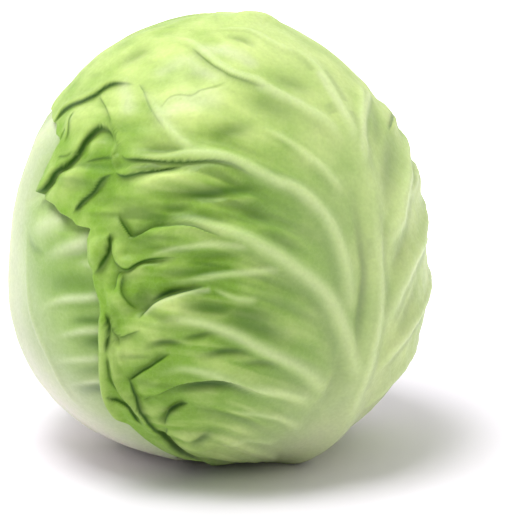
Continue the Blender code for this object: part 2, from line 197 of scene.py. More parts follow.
# Its ribs on the right side, which runs out of the photograph's view: the same, but azimuth and height
SIDE_RIBS = [
    (2.2, 1.6, [(45.5, 120), (47, 128), (50, 134), (52, 139.6), (55.5, 144.5), (60, 148.3), (66, 152),
        (80, 157)]),
    (3.4, 2.2, [(46, 91), (48.4, 96), (52.7, 100.4), (58.5, 105), (64.5, 113.7), (72, 120), (76, 124.5),
        (92, 131), (108, 134)]),
    (3.6, 2.2, [(46, 58), (47.5, 63.5), (49, 69.5), (52.3, 75), (56, 80), (60.5, 85), (65, 88.5), (72, 92),
        (80, 97), (94, 104), (110, 108)]),
    (3.2, 2.0, [(45, 42), (50, 49), (54, 54), (60, 59), (68, 64), (82, 70), (98, 76), (112, 79)]),
    (3.0, 1.6, [(48, 26), (58, 34), (70, 41), (86, 46), (104, 50)]),
    (2.0, 1.0, [(60, 86), (70, 90), (82, 90), (96, 92)]),
    (2.0, 1.0, [(61, 113), (70, 113), (84, 118), (100, 119)]),
]

# Rounded swellings of the front leaf between its folds: half-width and height, then pixels
FRONT_ROLLS = [
    (5.0, 1.6, [(60, 130), (72, 123), (86, 117), (98, 110)]),
    (4.6, 1.9, [(44, 202), (56, 192), (69, 181), (82, 171), (95, 164), (108, 160)]),
    (3.6, 0.9, [(86, 153), (95, 146), (104, 147)]),
    (1.0, 1.3, [(114.5, 140), (114, 152), (115, 164), (117, 172)]),
    (1.8, 1.3, [(119, 170), (132, 169), (145, 167.5), (160, 165.5)]),
    (3.0, 1.5, [(126, 184), (145, 182), (168, 178), (188, 173), (207, 169.5), (228, 172), (256, 182)]),
    (2.4, 1.0, [(158, 224), (176, 222), (196, 222), (220, 228)]),
    (1.3, 0.7, [(196, 204), (220, 201), (244, 200), (272, 198)]),
    (1.5, 0.7, [(127, 191), (137, 187), (150, 185.5), (163, 184)]),
    (4.0, 1.0, [(118, 200), (132, 206), (152, 209), (180, 211)]),
    (2.4, 1.5, [(133, 244), (150, 238.5), (171, 232), (198, 232.5), (222, 239)]),
    (3.0, 1.6, [(115, 236), (117, 250), (125, 261), (138, 256)]),
    (1.1, 1.1, [(122, 283), (124, 276), (133, 272.5), (142, 268), (156, 263)]),
    (2.6, 1.7, [(117, 286), (118, 298), (125, 309), (134, 318)]),
    (3.0, 0.9, [(148, 316), (170, 304), (196, 298)]),
    (3.6, 0.9, [(112, 353), (126, 350), (144, 352), (165, 356)]),
    (2.4, 1.0, [(132, 392), (148, 384), (168, 378)]),
    (5.5, 2.0, [(180, 424), (188, 436), (200, 446), (214, 451)]),
    (4.2, 0.6, [(138, 62), (158, 57), (178, 55), (206, 53)]),
    (3.4, 0.6, [(204, 46), (222, 46), (240, 49), (258, 55)]),
    (6.0, 0.8, [(146, 122), (170, 116), (196, 112), (232, 104)]),
    (4.6, 0.7, [(124, 82), (124, 98), (121, 114), (118, 126)]),
    (6.0, 2.2, [(222, 18), (240, 17), (256, 16.5), (270, 19), (286, 28)]),
    (4.0, 0.6, [(196, 82), (210, 92), (230, 96), (246, 92)]),
]

# Low swells that give the right side's outline its corners: half-width and height, then azimuth and height
SIDE_ROLLS = [
    (4.5, 1.3, [(66, 110), (80, 113), (94, 115.5), (118, 118)]),
    (4.5, 1.2, [(66, 137), (80, 140), (94, 142), (118, 145)]),
    (4.0, 0.5, [(60, 152), (78, 154), (94, 155), (122, 158)]),
]

# Soft valleys of the front leaf: half-width, depth and how dark their painted shade is, then pixels
FRONT_VALLEYS = [
    (2.6, 1.0, 0.85, [(134, 197), (160, 195), (190, 193), (213, 191.5), (240, 188), (264, 187), (290, 195)]),
    (2.0, 0.8, 0.65, [(146, 207), (165, 208), (185, 207), (205, 204)]),
    (3.0, 0.7, 0.60, [(222, 212), (245, 212), (268, 218), (290, 230)]),
    (3.0, 0.6, 0.50, [(246, 228), (270, 236), (292, 248), (312, 264)]),
    (3.4, 0.5, 0.55, [(195, 136), (212, 134), (226, 131), (245, 127), (264, 126)]),
    (2.0, 0.2, 0.70, [(120, 171), (132, 169.5), (144, 168), (156, 166.5), (168, 164.5), (182, 163)]),
    (1.5, 0.6, 0.60, [(144, 149.5), (160, 149), (178, 147.5), (195, 146.5)]),
    (2.4, 0.8, 0.60, [(138, 279), (160, 275), (188, 273), (215, 270), (252, 265)]),
    (2.4, 0.7, 0.45, [(168, 260), (200, 256), (240, 253), (264, 253)]),
    (4.6, 0.3, 0.65, [(205, 318), (235, 315), (262, 319), (288, 332)]),
    (3.2, 0.8, 0.75, [(168, 307), (195, 307), (225, 310), (256, 314)]),
    (1.4, 0.5, 1.00, [(138, 315), (146, 305), (156, 298.5), (170, 291.5), (187, 288), (204, 284.5)]),
    (1.6, 0.9, 0.80, [(140, 350), (152, 345), (165, 342), (180, 343), (192, 347)]),
    (1.5, 0.7, 0.70, [(174, 341), (186, 338.5), (198, 336), (212, 334), (226, 338)]),
    (1.8, 1.0, 0.80, [(190, 357), (208, 354), (225, 351), (243, 352), (262, 357)]),
    (1.6, 0.8, 0.60, [(232, 364), (246, 363), (260, 362), (275, 364), (290, 371)]),
    (3.4, 0.9, 0.45, [(222, 205), (250, 207), (282, 214)]),
    (4.6, 0.5, 0.42, [(232, 104), (250, 99), (270, 103), (292, 114), (308, 124)]),
    (2.2, 0.5, 0.42, [(222, 33), (235, 34), (247, 38), (259, 46)]),
    (2.8, 0.9, 0.50, [(128, 152), (144, 149), (160, 147.5), (178, 147), (192, 150)]),
    (3.0, 1.2, 0.35, [(343, 296), (342, 331), (337, 373), (326, 398), (314, 414), (297, 433)]),
    (1.9, 0.9, 1.00, [(152, 400), (166, 395), (180, 390), (196, 387), (212, 385.5), (228, 385.5), (242, 389),
        (258, 397), (272, 404)]),
    (1.1, 0.6, 1.00, [(168, 426), (167.5, 418), (169, 413), (174, 409.5), (181, 406), (192, 402)]),
    (0.9, 0.5, 1.00, [(156, 430), (163, 437), (170, 443.5), (179, 450.5), (190, 456.5), (204, 461)]),
    (2.4, 0.9, 0.85, [(188, 443), (198, 438), (208, 432.5), (219, 428)]),
    (2.2, 1.0, 0.60, [(349, 172), (354, 203), (360, 236), (364, 268), (362, 296), (357, 325), (350, 356),
        (342, 385)]),
    (2.2, 0.8, 0.35, [(382, 292), (383, 262), (382, 236), (378, 208)]),
    (5.5, 0.7, 0.50, [(394, 126), (392, 150), (389, 176), (384, 202), (379, 226)]),
    (3.6, 0.5, 0.40, [(374, 96), (378, 112), (378, 132), (373, 154)]),
    (3.4, 0.5, 0.35, [(408, 208), (404, 232), (396, 258), (386, 284)]),
    (3.4, 0.5, 0.35, [(421, 262), (414, 290), (402, 318), (386, 346)]),
    (4.0, 1.0, 0.55, [(126, 288), (134, 300), (146, 298), (160, 291)]),
    (4.5, 0.5, 0.60, [(190, 322), (220, 322), (250, 326), (280, 338), (305, 354)]),
    (4.0, 0.5, 0.40, [(116, 70), (126, 58), (140, 49), (158, 40)]),
    (3.0, 0.4, 0.30, [(176, 72), (200, 71), (226, 71)]),
    (3.4, 0.5, 0.35, [(262, 66), (280, 76), (300, 84), (318, 100)]),
]

# Folds of the front leaf: depth, half-width, which side hangs over (1 left of the line's run, -1
# right of it), then pixels
FRONT_FOLDS = [
    (2.8, 1.1, 1, [(48, 125), (52.4, 119.3), (60, 109), (70.8, 102), (81, 98.3), (92.5, 93.2), (101.4, 86.1),
        (111.6, 81), (126, 81), (134, 83)]),
    (1.0, 0.8, 1, [(96, 91), (99, 96.4), (105.3, 107.2), (110.5, 120), (113, 131), (118, 146.7),
        (121.8, 154.4)]),
    (4.2, 1.6, 1, [(34, 193), (41, 192), (45, 189), (49, 183), (55.5, 173.5), (65.7, 164), (74.6, 155),
        (80.4, 146.7), (84.8, 139), (91.2, 131.4), (98.9, 126.3), (105.3, 127.6), (110.4, 133.3),
        (113.5, 141.6), (116, 150)]),
    (1.3, 0.7, -1, [(73, 110), (70.5, 117), (70, 126), (68, 135), (63, 143)]),
    (0.9, 0.6, -1, [(66, 128), (61, 135), (60, 140)]),
    (1.1, 0.7, 1, [(58, 157), (66, 156), (73, 151)]),
    (1.4, 0.9, 1, [(86, 163), (94, 160), (104, 157), (115, 158.5)]),
    (3.0, 1.2, 1, [(72, 214), (75.3, 211), (81, 201.6), (90, 192.7), (97.6, 183.7), (105.3, 177.3),
        (113, 173.5), (116, 168)]),
    (2.4, 1.0, 1, [(114, 171), (119.3, 175.4), (127, 177.4), (141, 174.2), (152.5, 172.3), (165, 168.4),
        (180, 166), (190, 165)]),
    (2.2, 1.0, 1, [(120, 152), (123, 157), (127, 158.9), (142.3, 160), (157.6, 161.4), (170, 162),
        (182.5, 162), (200, 161.5), (213, 161.5), (229.5, 164), (245, 171), (262, 180)]),
    (1.3, 0.8, 1, [(190, 45), (200.7, 54), (212.8, 63.4), (224.8, 71.2), (231.7, 75.5), (245.5, 80.7),
        (262.8, 86.7), (280, 92)]),
    (0.9, 0.7, -1, [(138, 81), (143.8, 91), (149, 104.8), (155.9, 116.9), (162, 125), (168, 132.4)]),
    (0.5, 0.6, -1, [(226.6, 80.7), (211, 86.7), (199, 90.2), (192, 94.5), (176.6, 94.5), (168, 98),
        (161, 106.6), (158, 112)]),
    (0.8, 0.7, -1, [(148, 28.5), (156, 26.5), (166, 24.5), (176, 23)]),
    (3.6, 1.3, -1, [(117, 207), (119.5, 218), (125, 227), (131.5, 235.5), (139, 233.5), (147, 229.5),
        (154.5, 226.5), (168.5, 226), (181, 225.5), (194, 227), (207, 232), (228, 240)]),
    (2.6, 1.0, 1, [(111, 236), (111, 246), (113, 255.5), (116, 263), (124, 269.5), (130.5, 269), (139, 263),
        (149.5, 259.5), (162, 258), (178, 257)]),
    (4.2, 1.7, -1, [(138, 319), (144.5, 311), (152, 304), (160, 299), (170, 295), (182, 291.5), (195, 288.5),
        (210, 285)]),
    (1.6, 0.9, -1, [(125, 273), (122, 283), (122, 290.5), (126.5, 299), (132, 306.5), (138, 312)]),
    (1.6, 0.8, 1, [(110.5, 318), (115.5, 332), (122, 337), (128, 335), (134.5, 332.5), (142, 329.5)]),
    (3.2, 1.2, -1, [(127, 382), (135, 376), (142, 371), (149, 367), (158, 361), (171, 353)]),
    (4.2, 1.6, 1, [(154, 398), (163, 393), (172, 389), (184, 385), (198, 382), (211, 380.5), (224, 380),
        (237, 383), (249, 387), (268, 394)]),
    (3.6, 1.4, -1, [(165, 424), (165.5, 418), (168, 412.7), (173, 409), (180, 406), (190, 403)]),
    (1.6, 0.9, -1, [(166, 436), (166.5, 431), (168, 426)]),
    (1.2, 0.8, 1, [(143, 402), (150, 398)]),
    (2.2, 0.7, 1, [(393.5, 112), (391.5, 121), (389, 131)]),
]

# Pale patches of the front leaf: half-width and how pale they are, then pixels. They are partly paler veins
# and lamina and partly painted highlights, such as those high on the crown and the thin one along a fold's
# lip
FRONT_PATCHES = [
    (3.0, 0.40, [(122, 84), (126, 96), (128, 108)]),
    (4.0, 0.36, [(164, 114), (180, 106), (196, 101), (212, 99)]),
    (3.6, 0.50, [(208, 48), (224, 49), (240, 54), (250, 60)]),
    (3.0, 0.32, [(190, 58), (200, 66), (214, 75)]),
    (2.0, 0.55, [(320, 74), (328, 88), (336, 102), (345, 118)]),
    (1.7, 0.55, [(371, 90), (364, 110), (361, 130), (360, 150)]),
    (2.6, 0.20, [(262, 86), (282, 95), (300, 104), (320, 117), (338, 134)]),
    (3.0, 0.30, [(160, 70), (176, 62), (192, 56)]),
    # A painted highlight on the lip below the fold above it
    (0.9, 0.40, [(146, 314), (153, 308), (162, 303), (172, 299), (184, 295.5), (196, 292.5), (208, 290)]),
    (4.0, 0.30, [(318, 372), (322, 390), (314, 408), (300, 424)]),
]

# The front leaf's bunched left edge: strands as half-width, height and pixels, and the slits between
# them as folds
EDGE_STRANDS = [
    (3.0, 1.9, [(97, 232), (97, 246), (97, 258), (98, 270)]),
    (2.0, 1.9, [(97, 268), (98, 282), (102, 298), (105, 312), (105, 330), (105.5, 348), (105, 365),
        (106, 380), (108, 394), (113, 407), (121, 420), (133, 434), (148, 447)]),
    (1.6, 1.8, [(109, 262), (107, 278), (110, 296), (113, 314), (114, 332), (114, 350), (115.5, 368),
        (119, 384), (127, 398), (137, 410), (147, 422), (157, 436)]),
    (1.2, 1.1, [(121, 342), (121, 356), (124, 368)]),
]
EDGE_SLITS = [
    (3.4, 1.0, -1, [(110, 232), (110, 240), (109.5, 247), (107.5, 254), (104, 261.5), (99.5, 268),
        (94, 275)]),
    (1.8, 1.0, 1, [(121.5, 270), (117.5, 274), (116, 281), (114.5, 291)]),
    (2.8, 1.1, -1, [(107, 312), (110, 321.5), (111, 330), (110, 340), (109, 352)]),
    (1.2, 0.7, 1, [(116.5, 333), (118.5, 338), (120.5, 344)]),
    (1.3, 0.6, -1, [(109.5, 354), (110, 366), (112, 380), (118, 393)]),
    (2.4, 0.9, -1, [(124, 374), (130, 383), (134, 396), (140, 409), (147, 419), (154, 428), (161, 436),
        (168, 441.5), (176, 447.5), (184, 453), (194, 458)]),
    (2.6, 1.0, -1, [(156, 430), (162, 437), (168, 441.5), (176, 447.5), (184, 453), (194, 458), (206, 462)]),
    (2.4, 0.9, -1, [(109, 393), (113, 397), (121, 402), (129, 407.5), (134.5, 415.5), (143, 425)]),
]

# What the photograph shows on the left leaf: ribs from its midrib to the seam, and dents under them, darkened
# with painted shade
LEFT_RIBS = [
    (2.8, 1.2, [(34, 262), (43, 258), (57.6, 250.6), (76.8, 242.6), (91, 236), (104, 231)]),
    (1.6, 0.5, [(66, 262), (78, 262), (90, 264), (104, 266)]),
    (1.5, 1.2, [(34, 318), (41.7, 308), (52.8, 301.6), (65.6, 299), (80, 298.5), (94, 297), (108, 297)]),
    (1.3, 1.0, [(46, 340), (57.6, 336.7), (72, 333.5), (84.7, 332), (99, 332.7), (110, 333)]),
    (1.4, 1.0, [(46, 366), (57.6, 362), (72, 360.6), (86, 361), (99, 362), (112, 364)]),
    (1.2, 1.0, [(62, 389), (70, 386.5), (80, 385.4), (92, 384.5), (104, 384.6), (116, 386)]),
    (4.6, 1.2, [(29, 244), (33, 234), (40, 226), (52, 219), (64, 214)]),
    (1.0, 0.9, [(25, 205), (23.5, 240), (24.5, 280), (28, 311), (36, 334), (48, 361), (59, 383), (72, 402),
        (92, 420)]),
]
LEFT_VALLEYS = [
    (2.6, 0.8, 0.40, [(52, 262), (68, 255), (84, 251), (100, 247), (112, 244)]),
    (5.0, 1.2, 0.55, [(30, 287), (50, 284), (70, 283), (92, 285), (112, 288), (124, 290)]),
    (2.0, 1.0, 0.80, [(60, 324), (70, 322), (82, 322), (98, 323), (114, 324), (126, 325)]),
    (3.2, 1.3, 0.90, [(70, 346), (84, 344), (98, 344), (114, 345), (130, 346)]),
    (2.4, 0.8, 0.50, [(66, 376), (80, 374), (92, 373), (108, 375), (124, 378)]),
    (3.4, 1.8, 1.00, [(68, 392), (80, 392), (92, 393), (104, 396), (118, 402), (130, 408)]),
    (1.6, 0.9, 0.55, [(25, 226), (26, 236), (30, 246), (38, 252), (46, 254)]),
]

# Camera, floor and light
VIEW_TILT = 12
VIEW_DISTANCE = 0.745
VIEW_LENS = 120
SENSOR_WIDTH = 36
VIEW_AIM = Vector((0.0187, 0, 0.0785))
VIEW_PIXELS = 524
FLOOR_SIZE = 4.0
SKY_FRONT = 0.16
SKY_BACK = 0.90
SKY_SEEN = 1.05
LIGHT_AIM = Vector((0, 0, 0.09))
KEY_SPOT = (-0.30, -0.28, 1.35)
KEY_SIZE = 0.6
KEY_POWER = 15.0
SIDE_SPOT = (-1.1, -0.55, 0.55)
SIDE_SIZE = 0.7
SIDE_POWER = 0.6

# Where a ray through a pixel is tried, before and beyond the middle of the head, and how often
RAY_BEFORE = 0.12
RAY_BEYOND = 0.05
RAY_STEPS = 600

# How far the leaves swell out between their folds, how far the front leaf's shoulders sit back at the
# far left and the far right, and how deep a fold may press, in millimetres
FRONT_SWELL = 1.9
CROWN_SWELL = 0.5
SHOULDER_DROP = 1.0
FAR_SHOULDER_DROP = 1.5
WRAPPER_SWELL = 0.6
DEEPEST = -1.1
DEEPEST_BEND = 0.35

# How much higher ribs, and how much stronger rolls and valleys, are made than their rows say
RIB_RISE = 1.5
ROLL_RISE = 1.35

# The cross-sections of ribs and folds. Widths are shares of the row's half-width, the lip's step is a
# length, and how far the lip hangs over is a share of the fold's depth
CREST_WIDTH = 1.15
CREST_SHARE = 0.55
FOOT_WIDTH = 2.6
FOOT_SHARE = 0.45
LIP_WIDTH = 3.0
LIP_SHARE = 0.38
SUNK_WIDTH = 2.2
SUNK_SHARE = 0.62
LIP_STEP = 0.36 * MM
LIP_HANG = 0.16

# The front leaf's pleats: how high they are in millimetres, and the sizes of their waves
PLEAT_HEIGHT = 3.0
PLEAT_STRETCH = 0.13
PLEAT_SIZES = (0.0078, 0.0040, 0.0019)

# The lamina's lumps: their sizes, each with its share of the height, and how the noise behind them is
# made: the usual numbers that scatter whole numbers between 0 and 1
LUMPS = [(0.024, 0.42), (0.010, 0.22), (0.0045, 0.10)]
NOISE_SHIFT = 7.31
NOISE_MIX = np.array([12.9898, 78.233, 37.719])
NOISE_SPREAD = 43758.5453

# The waves of the free edges: their length in millimetres, and how far in from the edge they reach
RUFFLE_LENGTH = 34
RUFFLE_REACH = 7 * MM

# How light a lamina is, from 0 to 1: the front leaf's everywhere, more at its crown, where part of it is
# painted light from above, and on its right, less on its far left, and the other wrapper leaves'
BASE_TONE = 0.08
CROWN_TONE_AND_LIGHT = 0.66
RIGHT_TONE = 0.48
LEFT_SHADE = 0.16
WRAPPER_TONE = 0.3

# The whitish band beside a midrib: its width in degrees and its strength, where they change as rows of
# along and value, and how pale a leaf may be
FRONT_BAND_WIDTH = 34
FRONT_BAND_SHARE = [(32, 0.80), (48, 1)]
WRAPPER_BAND_WIDTH = [(30, 62), (60, 46), (85, 28), (110, 17)]
WRAPPER_BAND_SHARE = [(58, 1), (80, 0.60), (120, 0.48)]
PALEST = 0.97


def ramp(value, start, end):
    """Share of the way from a start value to an end value, held between 0 and 1."""
    return np.clip((value - start) / (end - start), 0, 1)


def eased(share):
    """A share between 0 and 1 that sets off and arrives gently."""
    return share * share * (3 - 2 * share)


def bell(gap, width, power=2):
    """A share that is 1 where a gap is 0, and fades to 0 over a width."""
    return np.exp(-(gap / width) ** power)


def looked_up(value, rows):
    """Value between the rows of a table of places and values."""
    return np.interp(value, *np.transpose(rows))


def heaped(first, second, share):
    """The higher of two heights, with a share of the lower one on top."""
    return np.maximum(first, second) + share * np.minimum(first, second)


def tapered(share, out_of_start, into_end):
    """Strength along a line, which grows from its start and fades to its end at two rates."""
    return eased(np.clip(share * out_of_start, 0, 1) * np.clip((1 - share) * into_end, 0, 1))


def envelope_radius(way):
    """Distance from the head's middle to the outside of its leaves, along unit directions."""
    flat = np.hypot(way[..., 0], way[..., 1]) / HEAD_RADIUS
    up = np.maximum(way[..., 2], 0) / CROWN_RISE
    down = np.minimum(way[..., 2], 0) / BELLY_DROP
    crown = (flat ** CROWN_POWER + up ** CROWN_POWER) ** (-1 / CROWN_POWER)
    belly = (flat ** 2 + down ** 2) ** -0.5
    return np.where(way[..., 2] > 0, crown, belly)


def on_outside(way):
    """Points on the head's outside, along unit directions from its middle."""
    return way * envelope_radius(way)[..., None] + MIDDLE


def reach_to_height(way, height):
    """Distance from the head's middle down to a height, along unit directions."""
    return (WIDEST_HEIGHT - height) / np.maximum(-way[..., 2], 1e-3)


def above_floor(way, radius, floor):
    """Draws a radius in where it would pass below a floor height, with a rounded bend."""
    reach = reach_to_height(way, floor)
    return (radius ** -FLOOR_ROUNDING + reach ** -FLOOR_ROUNDING) ** (-1 / FLOOR_ROUNDING)


def outside_point(azimuth, height):
    """Point on the head's outside at an azimuth and a height in metres."""
    rise = height - WIDEST_HEIGHT
    if rise > 0:
        radius = HEAD_RADIUS * (1 - (rise / CROWN_RISE) ** CROWN_POWER) ** (1 / CROWN_POWER)
    else:
        radius = HEAD_RADIUS * (1 - (rise / BELLY_DROP) ** 2) ** 0.5
    turn = np.radians(azimuth)
    return np.array([radius * np.sin(turn), -radius * np.cos(turn), height])


def azimuth_of(points):
    """Azimuths of points."""
    return np.degrees(np.arctan2(points[:, 0], -points[:, 1]))


def leaf_way(midrib, along, around):
    """Unit directions from the head's middle to places on a leaf."""
    arc = np.radians(along)
    turn = np.radians(around)
    rim = np.stack([np.sin(arc), -np.cos(arc)], -1)
    spoke = rim + np.array([FOLD_CENTRE, 0])
    spoke = spoke / np.linalg.norm(spoke, axis=-1, keepdims=True)
    radius = np.sum(rim * spoke, -1)
    centre = rim - radius[..., None] * spoke
    out = centre[..., 0] + radius * np.cos(turn) * spoke[..., 0]
    up = centre[..., 1] + radius * np.cos(turn) * spoke[..., 1]
    side = radius * np.sin(turn)
    low = along <= 90
    out = np.where(low, np.sin(arc) * np.cos(turn), out)
    side = np.where(low, np.sin(arc) * np.sin(turn), side)
    up = np.where(low, -np.cos(arc), up)
    middle = np.radians(midrib)
    return np.stack([out * np.sin(middle) + side * np.cos(middle),
                     side * np.sin(middle) - out * np.cos(middle), up], -1)


def leaf_place(midrib, way):
    """The along and around angles, on a leaf, of unit directions from the head's middle."""
    middle = np.radians(midrib)
    out = way[..., 0] * np.sin(middle) - way[..., 1] * np.cos(middle)
    side = way[..., 0] * np.cos(middle) + way[..., 1] * np.sin(middle)
    up = way[..., 2]
    span = np.hypot(out + FOLD_CENTRE, up)
    spoke = np.stack([(out + FOLD_CENTRE) / span, up / span], -1)
    push = FOLD_CENTRE * spoke[..., 0]
    reach = push + np.sqrt(np.maximum(push ** 2 - FOLD_CENTRE ** 2 + 1, 0))
    rim = reach[..., None] * spoke - np.array([FOLD_CENTRE, 0])
    centre = rim - np.sum(rim * spoke, -1)[..., None] * spoke
    inward = np.sum((np.stack([out, up], -1) - centre) * spoke, -1)
    low = up <= 0
    along = np.where(low, np.arccos(np.clip(-up, -1, 1)), np.arctan2(rim[..., 0], -rim[..., 1]))
    around = np.where(low, np.arctan2(side, out), np.arctan2(side, inward))
    return np.degrees(along) % 360, np.degrees(around)


def leaf_edges(leaf, along):
    """Left and right edge of a leaf, as around angles, at given along angles."""
    rows = np.array(leaf["edges"], float)
    turn = np.radians(along)
    wave = 0 if leaf is FRONT_LEAF else EDGE_WAVE
    left = np.interp(along, rows[:, 0], rows[:, 1]) + wave * np.sin(12 * turn + leaf["midrib"])
    right = np.interp(along, rows[:, 0], rows[:, 2]) + EDGE_WAVE * np.sin(10 * turn - leaf["midrib"])
    ragged = EDGE_CURL * np.clip((along - 122) / 8, 0.1, 1)
    left = left + ragged * (np.sin(37 * turn + 1) + 0.7 * np.sin(59 * turn + 2))
    right = right + EDGE_CURL * (np.sin(41 * turn + 3) + 0.7 * np.sin(53 * turn + 1))
    return left, right


def leaf_end(leaf, across):
    """Along angle where a leaf ends, for places from its left edge (-1) to its right edge (1)."""
    last = leaf["edges"][-1][0]
    return last + (leaf["tip"] - last) * np.sqrt(np.maximum(1 - across ** 2, 0))


def inside_leaf(leaf, way):
    """Distance inside a leaf's side edges and inside its tip, negative outside, along directions."""
    along, around = leaf_place(leaf["midrib"], way)
    left, right = leaf_edges(leaf, along)
    across = (2 * around - left - right) / (right - left)
    girth = np.maximum(np.hypot(way[..., 0], way[..., 1]), LEAST_GIRTH)
    to_left = (around - left) * DEGREE_LENGTH * girth
    to_right = (right - around) * DEGREE_LENGTH * girth
    to_tip = (leaf_end(leaf, np.clip(across, -1, 1)) - along) * DEGREE_LENGTH
    return to_left, to_right, to_tip


def covered(leaf, way, start=COVER_START, end=COVER_END):
    """How far a leaf presses what is inside it: 1 under the leaf, fading to 0 beyond its edge."""
    inside = np.minimum.reduce(inside_leaf(leaf, way))
    return eased(np.clip((inside + end) / (end - start), 0, 1))


def smooth_line(knots):
    """A smooth line through points, with a point at every stroke step."""
    knots = np.array(knots)
    knots = np.vstack([2 * knots[0] - knots[1], knots, 2 * knots[-1] - knots[-2]])
    line = []
    for a, b, c, d in zip(knots, knots[1:], knots[2:], knots[3:]):
        count = max(1, round(np.linalg.norm(c - b) / STROKE_STEP))
        for step in np.arange(count) / count:
            line.append(0.5 * (2 * b + (c - a) * step + (2 * a - 5 * b + 4 * c - d) * step ** 2
                               + (3 * b - a - 3 * c + d) * step ** 3))
    return np.array(line + [knots[-2]])


def line_over_head(places):
    """A smooth line over the head's outside through places given as azimuth and millimetres."""
    return smooth_line([outside_point(azimuth, height * MM) for azimuth, height in places])


def line_seen(pixels):
    """A smooth line over the head's outside through places given as pixels of the photograph."""
    pixels = np.array(pixels, float)
    tilt = math.radians(VIEW_TILT)
    back = np.array([0, -math.cos(tilt), math.sin(tilt)])
    upward = np.array([0, math.sin(tilt), math.cos(tilt)])
    focus = VIEW_LENS / SENSOR_WIDTH * VIEW_PIXELS
    rays = -back + (VIEW_PIXELS / 2 - pixels[:, 1:]) / focus * upward
    rays[:, 0] += (pixels[:, 0] - VIEW_PIXELS / 2) / focus
    eye = np.array(VIEW_AIM) + VIEW_DISTANCE * back - MIDDLE
    steps = np.linspace(VIEW_DISTANCE - RAY_BEFORE, VIEW_DISTANCE + RAY_BEYOND, RAY_STEPS)
    spots = eye + rays[:, None] * steps[:, None]
    reach = np.linalg.norm(spots, axis=-1)
    way = spots / reach[..., None]
    above = reach - envelope_radius(way) - FRONT_SWELL * MM
    hit = np.where((above < 0).any(-1), (above < 0).argmax(-1), above.argmin(-1))
    return smooth_line(on_outside(way[np.arange(len(pixels)), hit]))


def near_line(points, line, reach):
    """Which points lie near a line, how far to its left and from it, and how far along it they are.

    The last result is the direction to the line's left, as seen from outside the head.
    """
    low, high = line.min(0) - reach, line.max(0) + reach
    pick = np.flatnonzero(((points > low) & (points < high)).all(-1))
    spots = points[pick]
    gap = np.linalg.norm(spots[:, None] - line, axis=-1)
    near = gap.argmin(-1)
    tangent = np.gradient(line, axis=0)
    tangent /= np.linalg.norm(tangent, axis=-1, keepdims=True)
    outward = line - MIDDLE
    outward /= np.linalg.norm(outward, axis=-1, keepdims=True)
    leftward = np.cross(outward, tangent)
    offset = spots - line[near]
    rise = np.sum(offset * leftward[near], -1)
    onward = np.sum(offset * tangent[near], -1)
    before = np.where(near == 0, np.minimum(onward, 0), 0)
    beyond = np.where(near == len(line) - 1, np.maximum(onward, 0), 0)
    share = np.clip((near + onward / STROKE_STEP) / (len(line) - 1), 0, 1)
    return pick, rise, np.hypot(rise, before + beyond), share, leftward[near]


def gathered(way, lines):
    """Draws a leaf's grid points in towards its folds, so that the grid is finest there."""
    for line in lines:
        points = on_outside(way).reshape(-1, 3)
        pick, rise, gap, _, leftward = near_line(points, line, GATHER_REACH)
        part = np.clip(np.abs(rise) / GATHER_REACH, 0, 1)
        past = np.sqrt(np.maximum(gap ** 2 - rise ** 2, 0))
        pull = rise * GATHER_SHARE * (1 - part ** 2) * bell(past, MM)
        points[pick] -= pull[:, None] * leftward
        way = (points - MIDDLE).reshape(way.shape)
        way = way / np.linalg.norm(way, axis=-1, keepdims=True)
    return way


def soft_noise(points, size, seed):
    """Smooth noise between -1 and 1, with lumps of about a given size."""
    place = points / size + seed * NOISE_SHIFT
    cell = np.floor(place).astype(int)
    part = eased(place - cell)
    total = np.zeros(points.shape[:-1])
    for corner in np.ndindex(2, 2, 2):
        share = np.prod(np.where(np.array(corner), part, 1 - part), axis=-1)
        scatter = np.sin((cell + np.array(corner)) @ NOISE_MIX + seed) * NOISE_SPREAD
        total += share * (2 * (scatter - np.floor(scatter)) - 1)
    return total


